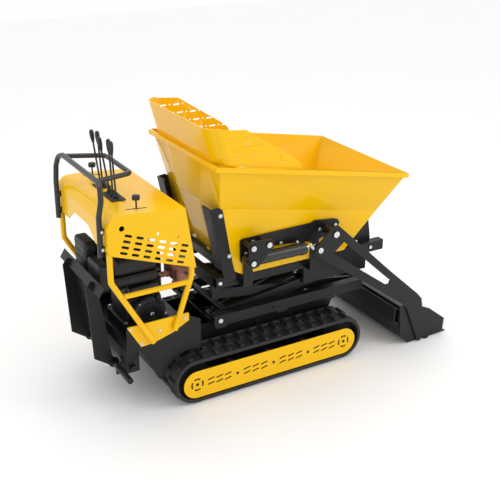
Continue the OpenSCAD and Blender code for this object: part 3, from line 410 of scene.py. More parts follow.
def keep(node, material, bevel):
    """A CAD node that is shown as it is, with its finish and softened edges."""
    piece = NODES[node]
    piece.data.materials.clear()
    piece.data.materials.append(material)
    piece.modifiers.new("welded_vertices", "WELD").merge_threshold = 0.02 * MM
    soften(piece, bevel, 2, 35)


def hexagon(made, x, y, z, r, h, side, washer=1.5):
    """A hexagon head on a washer, its seat at y, facing the right or the left."""
    turned([(r * 1.35, 0), (r * 1.35, washer)], (x, y, z), (0, side, 0), 24)(made)
    turned([(r, washer), (r, washer + h * 0.8), (r * 0.86, washer + h)], (x, y, z), (0, side, 0), 6)(made)


def pin_head(made, x, y, z, r, h, side):
    """A turned pin head with a chamfer and a grease nipple."""
    turned([(r, 0), (r, h - 1.2), (r - 1.2, h), (4, h), (4, h + 3), (2.4, h + 5), (0, h + 5)],
           (x, y, z), (0, side, 0), 32)(made)


# ---------------------------------------------------------------- tracks
BELT_OUT, BELT_IN = 362, 182
BELT_MID = (BELT_OUT + BELT_IN) / 2
HUB_Z, BELT_R, BELT_T = 124, 108, 10
# Height of the rims along both edges of the band, and of the lugs between them
SHOULDER, LUG_H = 9, 16
# The lugs stand a little lower round the hubs, so that their corners stay inside the round
LUG_LOWER = 0.7
LUGS = 34
STRAIGHT_STEPS, ARC_STEPS = 6, 30


def belt_place(share, radius):
    """Point and outward direction on a round-ended loop of that radius, share 0..1 of the way round."""
    arc = math.pi * radius
    s = (share % 1) * 2 * (PITCH + arc)
    if s < PITCH:
        return (s, HUB_Z - radius), (0, -1)
    s -= PITCH
    if s < arc:
        a = -math.pi / 2 + s / radius
        return (PITCH + radius * math.cos(a), HUB_Z + radius * math.sin(a)), (math.cos(a), math.sin(a))
    s -= arc
    if s < PITCH:
        return (PITCH - s, HUB_Z + radius), (0, 1)
    a = math.pi / 2 + (s - PITCH) / radius
    return (radius * math.cos(a), HUB_Z + radius * math.sin(a)), (math.cos(a), math.sin(a))


def belt_band(side):
    """A maker of the rubber band with a rib down its middle and raised rims, swept round the two hubs."""
    r1, r0 = BELT_R, BELT_R - BELT_T
    top = r1 + SHOULDER
    profile = [(BELT_OUT - 3, r0), (BELT_OUT, r0 + 3), (BELT_OUT, top - 3), (BELT_OUT - 3, top),
               (BELT_OUT - 11, top), (BELT_OUT - 15, r1 + 3), (BELT_OUT - 18, r1), (BELT_MID + 6, r1),
               (BELT_MID + 4, r1 + 6), (BELT_MID - 4, r1 + 6), (BELT_MID - 6, r1), (BELT_IN + 18, r1),
               (BELT_IN + 15, r1 + 3), (BELT_IN + 11, top), (BELT_IN + 3, top), (BELT_IN, top - 3),
               (BELT_IN, r0 + 3), (BELT_IN + 3, r0), (BELT_MID - 22, r0), (BELT_MID - 20, r0 + 5),
               (BELT_MID + 20, r0 + 5), (BELT_MID + 22, r0)]

    def maker(made):
        arc = math.pi * BELT_R
        run = 2 * (PITCH + arc)
        shares = []
        for begin, length, steps in ((0, PITCH, STRAIGHT_STEPS), (PITCH, arc, ARC_STEPS),
                                     (PITCH + arc, PITCH, STRAIGHT_STEPS),
                                     (2 * PITCH + arc, arc, ARC_STEPS)):
            shares += [(begin + length * i / steps) / run for i in range(steps)]
        loops = []
        for share in shares:
            (x, z), (nx, nz) = belt_place(share, BELT_R)
            loops.append([made.verts.new(at(x + nx * (r - BELT_R), side * y, z + nz * (r - BELT_R)))
                          for y, r in profile])
        for low, high in zip(loops, loops[1:] + loops[:1]):
            for i in range(len(profile)):
                j = (i + 1) % len(profile)
                made.faces.new((low[i], low[j], high[j], high[i]))
    return maker


def lug(made, share, y0, y1, side):
    """A tapered tread bar with sloping ends, standing on the band."""
    (x, z), (nx, nz) = belt_place(share, BELT_R)
    tall = LUG_H if nx == 0 else LUG_H - LUG_LOWER
    tx, tz = -nz, nx
    rows = []
    # Height above the band, half the length along it, and how far the ends slope in
    for height, half, inset in ((-2, 14, 0), (0, 13, 1), (tall - 2, 10, 5), (tall, 8, 8)):
        ring = []
        for u, v in ((-half, y0 + inset), (half, y0 + inset), (half, y1 - inset), (-half, y1 - inset)):
            ring.append(made.verts.new(at(x + nx * height + tx * u, side * v, z + nz * height + tz * u)))
        rows.append(ring)
    for low, high in zip(rows, rows[1:]):
        for i in range(4):
            j = (i + 1) % 4
            made.faces.new((low[i], low[j], high[j], high[i]))
    made.faces.new(rows[0][::-1])
    made.faces.new(rows[-1])


for word, side in SIDES:
    def tread(made, side=side):
        for i in range(LUGS):
            share = (i + 0.5) / LUGS
            lug(made, share, BELT_MID + 3, BELT_OUT - 14, side)
            lug(made, share + 0.5 / LUGS, BELT_IN + 14, BELT_MID - 3, side)
    put(joined(f"rubber_track_{word}", [belt_band(side), tread]), RUBBER, "machine",
        f"belt_{word}", bevel=1.0, angle=30)
    keep(f"track_beam_{word}", POWDER, 1.0)
    keep(f"sprocket_{word}", CAST_IRON, 1.2)
    keep(f"idler_{word}", CAST_IRON, 1.2)
    for number in (1, 2, 3):
        keep(f"road_roller_{word}_{number}", CAST_IRON, 1.2)

# ---------------------------------------------------------------- screws and yellow covers of the tracks
COVER_BOLTS = [PITCH * share for share in (0.2577, 0.5, 0.7405)]
COVER_Z, COVER_Y, COVER_R = HUB_Z - 13.5, BELT_OUT + 4, 74
# Hub arcs between these two radii, each over ARC_SWEEP degrees
ARC_OUT, ARC_IN, ARC_SWEEP = 35, 26, 64
# What the slanting slots keep clear of a hub and of a screw
HUB_ROOM, SCREW_ROOM = 52, 30
GUARD_BOLTS = [(-310, 472), (-258, 384), (-166, 430), (-30, 462)]
GUARD_FOOT_Y = (296.3, 304.7)
# Bolts of the handlebar posts, and the two faces of the lugs that they go through
BAR_BOLT_X, BAR_BOLTS_Z, BAR_LUG_Y = -420, (900, 985), (274, 302)


def body_screws(made):
    """Hexagon screws of the guards' feet and round heads of the handlebar posts."""
    for side in (RIGHT, LEFT):
        for x, z in GUARD_BOLTS:
            hexagon(made, x, side * (GUARD_FOOT_Y[1] + 0.3), z, 6, 4.5, side)
        for z in BAR_BOLTS_Z:
            turned([(8, 0), (8, 1.4), (6, 4), (3, 5), (0, 5)],
                   (BAR_BOLT_X, side * BAR_LUG_Y[1], z), (0, side, 0), 24)(made)


put(joined("screws_and_washers", [body_screws]), ZINC, "machine", "body_bolts", bevel=0.4)


def cover_screws(made):
    """Low round heads with a socket, along the middle of both covers."""
    for side in (RIGHT, LEFT):
        for x in COVER_BOLTS:
            turned([(8, 0), (8, 1), (6.5, 2.6), (4, 3), (3.4, 1.2), (0, 1.2)],
                   (x, side * COVER_Y, COVER_Z), (0, side, 0), 28)(made)


put(joined("cover_screws", [cover_screws]), TUBE_BLACK, "machine", bevel=0.4)


def cover_holes():
    """Arc slots and a hole round both hubs, and the pairs of slanting slots between the screws."""
    holes = []
    for x in (0, PITCH):
        holes.append(circle(x, COVER_Z, 9))
        for middle_of_arc in range(0, 360, 90):
            start = middle_of_arc - ARC_SWEEP / 2
            holes.append(circle(x, COVER_Z, ARC_OUT, 12, start, ARC_SWEEP)
                         + circle(x, COVER_Z, ARC_IN, 12, start, ARC_SWEEP)[::-1])
    stops = [0, *COVER_BOLTS, PITCH]
    for low, high in zip(stops, stops[1:]):
        lead = HUB_ROOM if low == 0 else SCREW_ROOM
        tail = HUB_ROOM if high == PITCH else SCREW_ROOM
        for i in range(3):
            x = low + lead + (high - low - lead - tail) * (i + 0.5) / 3
            holes += [slot_outline(x, COVER_Z + 13 * row, 40, 8.5, 12) for row in (-1, 1)]
    return holes


def cover_outline(reach):
    """The long round-ended shape about both hubs."""
    return circle(PITCH, COVER_Z, reach, 40, -90, 180) + circle(0, COVER_Z, reach, 40, 90, 180)


for word, side in SIDES:
    cover = plate(f"track_cover_sheet_{word}", cover_outline(COVER_R), side * (COVER_Y - 4), side * COVER_Y,
                  cover_holes())
    put(cover, ENAMEL, "machine", f"track_cover_{word}", smooth=False)
    shield = plate(f"track_cover_shield_{word}", cover_outline(COVER_R - 14), side * (COVER_Y - 7),
                   side * (COVER_Y - 5))
    put(shield, POWDER, "machine", smooth=False)


# ---------------------------------------------------------------- chassis and lift, shown as designed
for node, width in (("chassis", 1.5), ("engine_deck", 1.5), ("hydraulic_tank", 2.0), ("lift_base", 1.2),
                    ("lift_arms_outer", 1.5), ("lift_arms_inner", 1.5), ("lift_frame", 1.2),
                    ("loader_brackets", 1.5), ("loader_arms", 1.5), ("shovel", 1.5), ("skip_hinge", 1.5),
                    ("skip_uprights", 1.2)):
    keep(node, POWDER, width)
for node in ("lift_rollers_upper", "lift_rollers_lower", "frame_pins"):
    keep(node, ZINC, 0.8)


# The side windows of the chassis: their middles, and half their length and their height
WINDOW_X, WINDOW_HALF, WINDOW_Z, WINDOW_Y = (384, 736), 78, (196, 284), (158, 161)


def belly_plates(made):
    """Guards that close the side windows of the chassis from inside."""
    for side in (RIGHT, LEFT):
        low, high = sorted(side * y for y in WINDOW_Y)
        for x in WINDOW_X:
            block((x - WINDOW_HALF, low, WINDOW_Z[0]), (x + WINDOW_HALF, high, WINDOW_Z[1]), 2)(made)


put(joined("chassis_window_guards", [belly_plates]), POWDER, "machine")
keep("platform", POWDER, 1.2)
keep("hydraulics", CASTING, 1.5)
keep("hood", ENAMEL, 1.2)
keep("spill_guard", ENAMEL, 0.8)


# ---------------------------------------------------------------- skip
SHEET = 4
# Rim at the rear and at the front: (x, half the width, z)
RIM_REAR, RIM_FRONT = (136, 372, 1215), (1225, 393, 1015)
FLOOR_Z = 611


def both_sides(points):
    """A ring from the points of its right half, from the rear to the front."""
    return points + [(x, -y, z) for x, y, z in reversed(points)]


SKIP_RINGS = [both_sides(ring) for ring in (
    [(262, -14, FLOOR_Z), (300, -292, FLOOR_Z), (912, -292, FLOOR_Z)],
    [(234, -26, 637), (254, -292, 637), (940, -292, 637)],
    [(154, -124, 980), (176, -292, 980), (1112, -292, 796)],
    [(RIM_REAR[0], -190, RIM_REAR[2]), (RIM_REAR[0], -RIM_REAR[1], RIM_REAR[2]),
     (RIM_FRONT[0], -RIM_FRONT[1], RIM_FRONT[2])])]


def tub(made):
    """The faceted shell of the skip, open at the top, as one sheet without thickness."""
    rings = [[made.verts.new(at(*p)) for p in ring] for ring in SKIP_RINGS]
    count = len(rings[0])
    for low, high in zip(rings, rings[1:]):
        for i in range(count):
            j = (i + 1) % count
            made.faces.new((low[i], high[i], low[j]))
            made.faces.new((low[j], high[i], high[j]))
    made.faces.new(rings[0])
    bmesh.ops.dissolve_limit(made, angle_limit=math.radians(1.2), verts=made.verts, edges=made.edges)


skip_tub = joined("skip_tub", [tub])
crease = skip_tub.modifiers.new("pressed_creases", "BEVEL")
crease.width = 3 * MM
crease.segments = 2
crease.angle_limit = math.radians(2)
wall = skip_tub.modifiers.new("sheet", "SOLIDIFY")
wall.thickness = SHEET * MM
wall.offset = -1
put(skip_tub, ENAMEL, "skip_body", "skip", smooth=False)
skip_tub.data.polygons.foreach_set("use_smooth", [True] * len(skip_tub.data.polygons))
skip_tub.modifiers.new("normals", "WEIGHTED_NORMAL").keep_sharp = True


def rim_z(x):
    """Height of the sloping rim at x."""
    return RIM_REAR[2] + (RIM_FRONT[2] - RIM_REAR[2]) * (x - RIM_REAR[0]) / (RIM_FRONT[0] - RIM_REAR[0])


def rim_ring(drop, out, rear):
    """A ring round the rim, that much below and outside it, and further out at the rear."""
    back, front = RIM_REAR[0] - rear, RIM_FRONT[0] + out
    return both_sides([(back, -out - RIM_REAR[1], rim_z(back) - drop),
                       (front, -out - RIM_FRONT[1], rim_z(front) - drop)])


def rim(made):
    """The lip of the skip: its edge folded out and down, hollow below."""
    inner = both_sides([(RIM_REAR[0] + SHEET, SHEET - RIM_REAR[1], RIM_REAR[2] + 0.5),
                        (RIM_FRONT[0] - SHEET, SHEET - RIM_FRONT[1], RIM_FRONT[2] + 0.5)])
    rings = [rim_ring(24, 5, 20), rim_ring(0, 5, 20), inner, rim_ring(3, 2, 17), rim_ring(24, 2, 17)]
    rings = [[made.verts.new(at(*p)) for p in ring] for ring in rings]
    for low, high in zip(rings, rings[1:] + rings[:1]):
        for i in range(4):
            j = (i + 1) % 4
            made.faces.new((low[i], low[j], high[j], high[i]))


put(joined("skip_rim", [rim]), ENAMEL, "skip_body", bevel=2.4, segments=3, angle=20)


def seams(made):
    """Weld beads up the four corners inside."""
    inward = SHEET + 1
    for side in (RIGHT, LEFT):
        for column, forward in ((1, inward), (2, -inward)):
            points = [(x + forward, side * (abs(y) - inward), z + 2)
                      for x, y, z in (ring[column] for ring in SKIP_RINGS)]
            pipe(points[1:], 3.2, 8, 8)(made)


put(joined("skip_weld_seams", [seams]), ENAMEL, "skip_body")


def skip_screws(made):
    """Hexagon screws that hold the uprights to the skip's sides."""
    for side in (RIGHT, LEFT):
        for x, z in ((176, 946), (222, 729)):
            hexagon(made, x, side * 297, z, 8, 5, side, 1)


put(joined("skip_screws", [skip_screws]), ZINC, "skip_body", "skip_bolts", bevel=0.4)


def bosses(made):
    """Two round bosses low on the skip's rear panel."""
    for y in (-110, 110):
        turned([(22, 0), (22, 5), (20, 7), (9, 7), (9, 3), (0, 3)], (206, y, 690), (-1, 0, 0), 32)(made)


put(joined("skip_bosses", [bosses]), ENAMEL, "skip_body", bevel=0.5)


# ---------------------------------------------------------------- cylinders
def ram(name, p, q, r, rod_r, gland, rod_start, eye_r, base_w, bodies, nodes,
        rows=(0,), eye_w=44, stub=None, ports=-1):
    """Hydraulic cylinders from p to q at the y values of rows: tube, gland, weld bead, eyes and hose ports.
    The gland ends that far before q, and the ports look down (-1) or up (1). The bodies and the CAD nodes
    are those of the tube and of the rod, and stub is the pin's span from the rod's eye out to the arm."""
    reach = Vector((q[0] - p[0], 0, q[1] - p[1]))
    length, way = reach.length, reach.normalized()
    barrel_l = length - gland
    up = Vector((-way.z, 0, way.x)) * ports

    def on(distance, across):
        return (p[0] + way.x * distance, across, p[1] + way.z * distance)

    def tube(made):
        for place in rows:
            turned([(r - 3, r * 0.5), (r, r * 0.5 + 3), (r, r * 0.5 + 12), (r + 1.6, r * 0.5 + 14),
                    (r, r * 0.5 + 17), (r, barrel_l - 30), (r + 2, barrel_l - 29), (r + 2, barrel_l - 3),
                    (r, barrel_l), (rod_r + 4, barrel_l), (rod_r + 4, barrel_l - 2),
                    (rod_r + 0.6, barrel_l - 2)],
                   (p[0], place, p[1]), way, 40)(made)
            turned([(r * 0.8 - 1, -base_w / 2), (r * 0.8, -base_w / 2 + 1), (r * 0.8, base_w / 2 - 1),
                    (r * 0.8 - 1, base_w / 2)], (p[0], place, p[1]), (0, 1, 0), 36)(made)
            for distance in (r + 14, barrel_l - 46):
                turned([(9, r - 4), (9, r + 7), (7, r + 8)], on(distance, place), up, 20)(made)

    def fittings(made):
        for place in rows:
            for distance in (r + 14, barrel_l - 46):
                turned([(8, r + 8), (8, r + 14), (5, r + 15), (5, r + 19), (0, r + 19)],
                       on(distance, place), up, 6)(made)

    def piston(made):
        for place in rows:
            turned([(rod_r, rod_start), (rod_r, length - eye_r * 0.6)], (p[0], place, p[1]), way, 36)(made)
            turned([(eye_r - 1, -eye_w / 2), (eye_r, -eye_w / 2 + 1), (eye_r, eye_w / 2 - 1),
                    (eye_r - 1, eye_w / 2)], (q[0], place, q[1]), (0, 1, 0), 36)(made)
            turned([(rod_r + 5, length - eye_r - 16), (rod_r + 5, length - eye_r * 0.6)],
                   (p[0], place, p[1]), way, 6)(made)
            if stub:
                low, high = (stub[0], stub[1]) if place > 0 else (-stub[1], -stub[0])
                turned([(17, low), (17, high)], (q[0], 0, q[1]), (0, 1, 0), 36)(made)

    put(joined(f"{name}_tube", [tube]), TUBE_BLACK, bodies[0], nodes[0], bevel=0.5)
    put(joined(f"{name}_fittings", [fittings]), ZINC, bodies[0], bevel=0.4)
    put(joined(f"{name}_piston_rod", [piston]), CHROME, bodies[1], nodes[1], bevel=0.4)


# The lifting rod's eye: along the resting arm from its rear pin, and below the arm's middle line
ARM_PIN, ARM_SLOPE, EYE_ALONG, EYE_BELOW = (195, 361), math.radians(8), 640, 30
LIFT_EYE = (ARM_PIN[0] + EYE_ALONG * math.cos(ARM_SLOPE) + EYE_BELOW * math.sin(ARM_SLOPE),
            ARM_PIN[1] + EYE_ALONG * math.sin(ARM_SLOPE) - EYE_BELOW * math.cos(ARM_SLOPE))
LOADER_FOOT, LOADER_EYE = (302, 708), (677, 706)

ram("lift_ram", (263, 269), LIFT_EYE, r=32, rod_r=18, gland=62, rod_start=58, eye_r=21, base_w=44,
    bodies=("lift_barrel", "lift_piston"), nodes=("lift_cylinder", "lift_rod"))
ram("tip_ram", (500, 560), (900, 583), r=28, rod_r=16, gland=58, rod_start=54, eye_r=20, base_w=44,
    bodies=("tip_barrel", "tip_piston"), nodes=("tip_cylinder", "tip_rod"))
ram("loader_ram", LOADER_FOOT, LOADER_EYE, r=31, rod_r=14, gland=52, rod_start=57, eye_r=19, base_w=60,
    bodies=("loader_barrels", "loader_pistons"), nodes=("loader_cylinders", "loader_rods"),
    rows=(-350, 350), eye_w=40, stub=(369, 402.7), ports=1)


# ---------------------------------------------------------------- pins and screws of the lift and loader
BRACKET_PINS = ((302, 787), (390, 788), LOADER_FOOT)
BRACKET_BOLTS = ((345, 784), (308, 730), (509, 742), (741, 771), (838, 776))
LOADER_PIVOT = (770, 773)
FRAME_PINS = ((195, 569), (1120, 569))
# Faces that the heads sit on: the outer cheeks, the bracket plates, the arms and the frame's ears
CHEEK_Y, BRACKET_Y, ARM_Y, EAR_Y = 398, 311, 420, 250


def upper_frame_pins(made):
    for side in (RIGHT, LEFT):
        for x, z in BRACKET_PINS:
            pin_head(made, x, side * CHEEK_Y, z, 14, 3, side)
        pin_head(made, LOADER_PIVOT[0], side * (ARM_Y + 0.3), LOADER_PIVOT[1], 17, 2, side)
        for x, z in BRACKET_BOLTS:
            hexagon(made, x, side * BRACKET_Y, z, 7, 4, side, 1)
        for x, z in FRAME_PINS:
            turned([(11, 0), (11, 3), (9, 5), (0, 5)], (x, side * EAR_Y, z), (0, side, 0), 28)(made)


put(joined("upper_frame_pin_heads", [upper_frame_pins]), ZINC, "upper_frame", bevel=0.4)


def loader_pins(made):
    for side in (RIGHT, LEFT):
        pin_head(made, LOADER_EYE[0], side * ARM_Y, LOADER_EYE[1], 15, 2, side)


put(joined("loader_pin_heads", [loader_pins]), ZINC, "loader", bevel=0.4)


# ---------------------------------------------------------------- engine and fuel
CRANK_X, CRANK_Z = -150, 462
FINS, FIN_STEP, FIN_T = 9, 8.6, 3.4
STARTER_RIBS = 30


def engine_block(made):
    """Sump, crankcase and finned cylinder, and the castings that are bolted to them."""
    block((-270, -120, 346), (-30, 120, 402), 8)(made)
    block((-250, -105, 400), (-60, 105, 522), 14)(made)
    turned([(66, 0), (66, 30), (58, 44)], (CRANK_X, -106, CRANK_Z), (0, -1, 0), 40)(made)
    for i in range(FINS):
        z = 523 + i * FIN_STEP
        block((-192, -86, z), (-48, 86, z + FIN_T), 1)(made)
    block((-180, -70, 519), (-60, 70, 600), 8)(made)
    block((-62, -46, 528), (-34, 46, 592), 8)(made)
    block((-238, -150, 556), (-84, -90, 602), 16)(made)
    block((-240, -90, 519), (-184, 90, 600), 14)(made)
    block((-120, -186, 500), (-96, -150, 552), 6)(made)


def starter(made):
    """The starter's dished cover with a ring of cooling ribs."""
    dish = [(84, 0), (84, 14), (80, 22), (70, 30), (62, 31), (60, 40), (52, 41), (30, 41), (28, 37), (0, 37)]
    turned(dish, (CRANK_X, -149, CRANK_Z), (0, -1, 0), 56)(made)
    to_crank = Matrix.Translation(at(CRANK_X, -177, CRANK_Z))
    from_hub = Matrix.Translation(-at(0, 0, 0))
    for i in range(STARTER_RIBS):
        before = set(made.verts)
        block((60, -3, -1.6), (78, 0, 1.6), 0.8)(made)
        turn = Matrix.Rotation(-2 * math.pi * i / STARTER_RIBS, 4, "Y")
        bmesh.ops.transform(made, matrix=to_crank @ turn @ from_hub,
                            verts=[v for v in made.verts if v not in before])


put(joined("engine_casting", [engine_block]), CASTING, "machine", "engine", bevel=0.6)
put(joined("recoil_starter_cover", [starter]), MOULDED, "machine", bevel=0.5)


def engine_screws(made):
    """The nut in the middle of the starter, its four screws and the screws of the crankcase."""
    turned([(12, 0), (12, 4), (9, 7), (0, 7)], (CRANK_X, -190, CRANK_Z), (0, -1, 0), 6)(made)
    for x, z in circle(CRANK_X, CRANK_Z, 76, 4, 45):
        hexagon(made, x, -171, z, 5, 4, RIGHT, 1)
    for x in (-255, -45):
        for y in (-110, 110):
            turned([(9, 0), (9, 6), (7, 8), (0, 8)], (x, y, 400), (0, 0, 1), 6)(made)


put(joined("engine_screws", [engine_screws]), ZINC, "machine", bevel=0.4)


CAP_X, CAP_Y, CAP_Z, CAP_R = -215, 60, 772.3, 31


def tank(made):
    """Two moulded halves with a seam flange, the filler neck and four feet."""
    block((-318, -150, 612), (-86, 150, 668), 22, 5)(made)
    block((-318, -150, 668), (-86, 150, 760), 30, 6)(made)
    block((-322, -154, 664), (-82, 154, 672), 3, 3)(made)
    turned([(30, 754), (28, 760), (24, 764), (24, 772)], (CAP_X, CAP_Y, 0), (0, 0, 1), 32)(made)
    for x in (-210, -110):
        for y in (-60, 60):
            turned([(9, 600), (9, 613)], (x, y, 0), (0, 0, 1), 20)(made)


def cap(made):
    """The screw cap with twelve grip ribs."""
    turned([(17.5, -10), (17.5, 0), (30, 0), (CAP_R, 2), (CAP_R, 9), (28, 12), (20, 13), (18, 11), (0, 11)],
           (CAP_X, CAP_Y, CAP_Z), (0, 0, 1), 48)(made)
    for x, y in circle(CAP_X, CAP_Y, CAP_R, 12):
        turned([(2.4, 1), (2.4, 10), (1.4, 11)], (x, y, CAP_Z), (0, 0, 1), 10)(made)


put(joined("fuel_tank_shell", [tank]), MOULDED, "machine", "fuel_tank", bevel=0.6)
put(joined("fuel_cap_ribbed", [cap]), PHENOLIC, "fuel_cap", "fuel_cap")


def cleaner(made):
    """The two lobes of the air cleaner, their ducts, the cover's screw and four ribs."""
    block((-392, 40, 640), (-326, 190, 800), 16, 5)(made)
    block((-388, -130, 600), (-326, 30, 740), 16, 5)(made)
    block((-388, 60, 560), (-240, 130, 606), 8)(made)
    block((-326, -60, 560), (-240, 20, 606), 8)(made)
    block((-360, -60, 560), (-326, 130, 650), 8)(made)
    turned([(22, -1), (22, 12)], (-360, 30, 770), (0, 1, 0), 32)(made)
    for z in (665, 700, 735, 770):
        block((-394, 52, z), (-388, 178, z + 6), 1.5)(made)


put(joined("air_cleaner_housing", [cleaner]), MOULDED, "machine", "air_cleaner", bevel=0.6)


def silencer(made):
    """The silencer's shell with two pressed bands, its inlet pipe and its tailpipe."""
    block((10, -150, 556), (96, 30, 640), 22, 6)(made)
    for y in (-100, -20):
        block((8, y - 3, 554), (98, y + 3, 642), 20, 5)(made)
    pipe([(-49.8, -40, 585), (11, -40, 585)], 15, 10)(made)
    pipe([(60, -148, 620), (60, -172, 628), (60, -200, 640)], 13, 20)(made)


put(joined("muffler_shell", [silencer]), HEATED, "machine", "muffler", bevel=0.6)


# ---------------------------------------------------------------- tubes
BAR_R, HOOP_R = 13, 12


def handlebar(made):
    """Both posts with the bar between them, the hoop in front of it and the lugs on the hood."""
    post = [(-428, -286, 862), (-426, -288, 1052), (-416, -300, 1128), (-408, -278, 1180),
            (-399, -236, 1195)]
    rest = [(x, -y, z) for x, y, z in reversed(post)]
    pipe(post + rest, BAR_R, 46, 24)(made)
    hoop = [(-399, -216, 1195), (-212, -158, 1186), (-212, 158, 1186), (-399, 216, 1195)]
    pipe(hoop, HOOP_R, 40, 24)(made)
    for side in (RIGHT, LEFT):
        for z in BAR_BOLTS_Z:
            low, high = sorted(side * y for y in BAR_LUG_Y)
            block((-430, low, z - 14), (-411.2, high, z + 14), 3)(made)


put(joined("handlebar_tube", [handlebar]), TUBE_BLACK, "machine", "handlebar")

# ---------------------------------------------------------------- yellow side guards
GUARD_TUBE_Y, GUARD_TUBE_R = 317.7, 14
GUARD_FOOT = rounded([(-330, 484), (-7, 484), (-7, 445), (-90, 402), (-193, 372), (-262, 366)], 6)

for word, side in SIDES:
    def frame_tubes(made, side=side):
        y = side * GUARD_TUBE_Y
        pipe([(-399, y, 884), (-399, y, 738), (-203, y, 384)], GUARD_TUBE_R, 34, 24)(made)
        pipe([(7, y, 752), (6, y, 688), (-90, y, 420)], GUARD_TUBE_R, 34, 24)(made)
        pipe([(-341, y, 656), (-8, y, 656)], GUARD_TUBE_R - 1, 30, 24)(made)
    put(joined(f"guard_tubes_{word}", [frame_tubes]), ENAMEL, "machine")
    low, high = sorted(side * y for y in GUARD_FOOT_Y)
    foot = plate(f"guard_foot_{word}", GUARD_FOOT, low, high)
    put(foot, ENAMEL, "machine", f"guard_{word}")


# ---------------------------------------------------------------- controls
WORK_Y, WORK_X = (-45, -85, -125), -277
TRAVEL_Y, TRAVEL_X = (98, 66), -268
BALL_Z, LEVER_L = 1080, 262
# The two slot levers swing about a pin inside the hood
SLOT_X, SLOT_Y, SLOT_PIN_Z, KNOB_Z = -241, 275, 960, 1098
LOBES, LOBE_R, LOBE_DEPTH = 6, 17, 2.4


def boots(made):
    """Rubber gaiters in folds, on a flange for each group of levers."""
    for x, ys, low, high in ((WORK_X, WORK_Y, -158, -14), (TRAVEL_X, TRAVEL_Y, 42, 122)):
        block((x - 34, low, 1060.3), (x + 36, high, 1066), 4)(made)
        for y in ys:
            folds = [(17, 0)]
            for k in range(4):
                folds += [(17 - k, 2 + 4 * k), (13 - k, 4 + 4 * k)]
            turned(folds + [(10, 17), (8, 24), (6, 30), (0, 30)], (x, y, 1065), (0, 0, 1), 32)(made)


put(joined("lever_gaiters", [boots]), RUBBER, "machine", "lever_boots")


def hand_lever(node, x, y, lean_x, lean_y, grip):
    """A lever leaning by those degrees about its ball, with a handle as long as grip."""
    a, b = math.radians(lean_x), math.radians(lean_y)
    way = Vector((math.cos(b) * math.sin(a), -math.sin(b), math.cos(b) * math.cos(a)))

    def rod(made):
        turned([(4.5, 12), (4.5, LEVER_L - grip + 4)], (x, y, BALL_Z), way, 20)(made)

    def handle(made):
        top = LEVER_L
        turned([(4.6, top - grip), (7, top - grip * 0.86), (10, top - grip * 0.62), (11, top - grip * 0.4),
                (11, top - 14), (9.6, top - 6), (6, top - 1.4), (0, top)], (x, y, BALL_Z), way, 32)(made)

    put(joined(f"{node}_rod", [rod]), TUBE_BLACK, node)
    put(joined(f"{node}_handle", [handle]), PHENOLIC, node, node)


hand_lever("travel_lever_left", TRAVEL_X, TRAVEL_Y[0], -6, -1, 66)
hand_lever("travel_lever_right", TRAVEL_X, TRAVEL_Y[1], -3, 1, 66)
hand_lever("lift_lever", WORK_X, WORK_Y[0], -7, -3, 70)
hand_lever("tip_lever", WORK_X, WORK_Y[1], -2, 1, 70)
hand_lever("loader_lever", WORK_X, WORK_Y[2], -3, 1, 70)

for node, side in (("throttle_lever", RIGHT), ("choke_lever", LEFT)):
    def stem(made, side=side):
        low, high = sorted((side * (SLOT_Y - 5), side * (SLOT_Y + 6)))
        turned([(11, low), (11, high)], (SLOT_X, 0, SLOT_PIN_Z), (0, 1, 0), 28)(made)
        turned([(4, 8), (4, 139)], (SLOT_X, side * SLOT_Y, SLOT_PIN_Z), (0, 0, 1), 16)(made)

    def star(made, side=side):
        steps = 48
        rings = []
        for scale, height in ((0.8, 0), (1, 3), (1, 18), (0.85, 23), (0.4, 24)):
            ring = []
            for i in range(steps):
                a = 2 * math.pi * i / steps
                r = (LOBE_R + LOBE_DEPTH * math.cos(LOBES * a)) * scale
                ring.append(made.verts.new(at(SLOT_X + r * math.cos(a), side * SLOT_Y + r * math.sin(a),
                                              KNOB_Z + height)))
            rings.append(ring)
        for low, high in zip(rings, rings[1:]):
            for i in range(steps):
                j = (i + 1) % steps
                made.faces.new((low[i], low[j], high[j], high[i]))
        made.faces.new(rings[0][::-1])
        made.faces.new(rings[-1])

    put(joined(f"{node}_stem", [stem]), TUBE_BLACK, node)
    put(joined(f"{node}_knob", [star]), PHENOLIC, node, node, bevel=0.8)


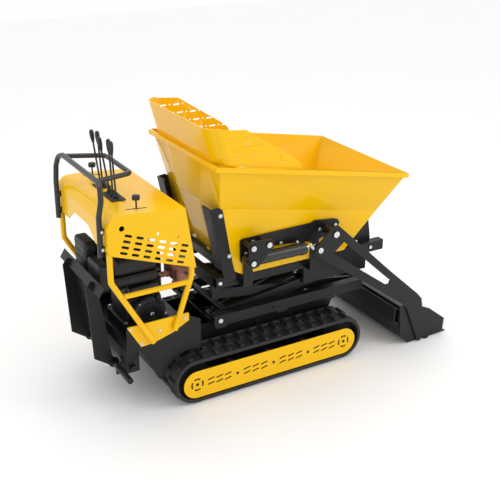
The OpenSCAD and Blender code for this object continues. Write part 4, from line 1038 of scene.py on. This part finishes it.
# Rubber lips that close the two slots in the hood round the lever stems
LIPS = [(-290, 1053), (-192, 1045), (-192, 1051.4), (-285, 1059.3), (-290, 1059)]
LIP_HALF_W = 5.8

for word, side in SIDES:
    lips = plate(f"slot_lips_{word}", LIPS, side * SLOT_Y - LIP_HALF_W, side * SLOT_Y + LIP_HALF_W,
                 roll=0.3)
    put(lips, RUBBER, "machine", smooth=False)


# ---------------------------------------------------------------- hoses fixed to the machine
HOSES, HOSE_STEP, HOSE_R, HOSE_BEND = 7, 40, 7.5, 60


def hoses(made):
    """A row of hoses from the work levers, drawn together and down to the valve block."""
    for k in range(HOSES):
        y = -130 + HOSE_STEP * k
        pipe([(-280, y, 905), (-280, y, 850), (-150 + 12 * k, y * 0.6 + 40, 800), (-20, 60 + y * 0.5, 700),
              (-20, 60 + y * 0.5, 560 + 14 * k)], HOSE_R, HOSE_BEND, 14)(made)


put(joined("valve_hoses", [hoses]), HOSE, "machine")


# ---------------------------------------------------------------- studio
def studio():
    """A wide pale floor, one large lamp from the right, one from above and an even white surround."""
    made = bmesh.new()
    bmesh.ops.create_grid(made, x_segments=8, y_segments=8, size=12)
    floor = from_bmesh("studio_floor", made)
    bpy.context.scene.collection.objects.link(floor)
    floor.data.materials.append(FLOOR)

    def lamp(name, place, target, size, power):
        light = bpy.data.lights.new(name, "AREA")
        light.shape = "DISK"
        light.size = size
        light.energy = power
        made_lamp = bpy.data.objects.new(name, light)
        made_lamp.location = place
        made_lamp.rotation_mode = "QUATERNION"
        made_lamp.rotation_quaternion = (Vector(target) - Vector(place)).to_track_quat("-Z", "Y")
        bpy.context.scene.collection.objects.link(made_lamp)

    lamp("key_from_the_right", (3.0, -3.2, 3.6), (0.1, 0, 0.6), 1.8, 42)
    lamp("overhead", (-0.8, 0.6, 4.4), (0, 0, 0.5), 2.6, 32)
    world = bpy.data.worlds.new("studio")
    bpy.context.scene.world = world
    world.use_nodes = True
    back = world.node_tree.nodes["Background"]
    back.inputs["Color"].default_value = (1, 1, 1, 1)
    back.inputs["Strength"].default_value = 1.0
    bpy.context.scene.view_settings.view_transform = "Standard"


studio()
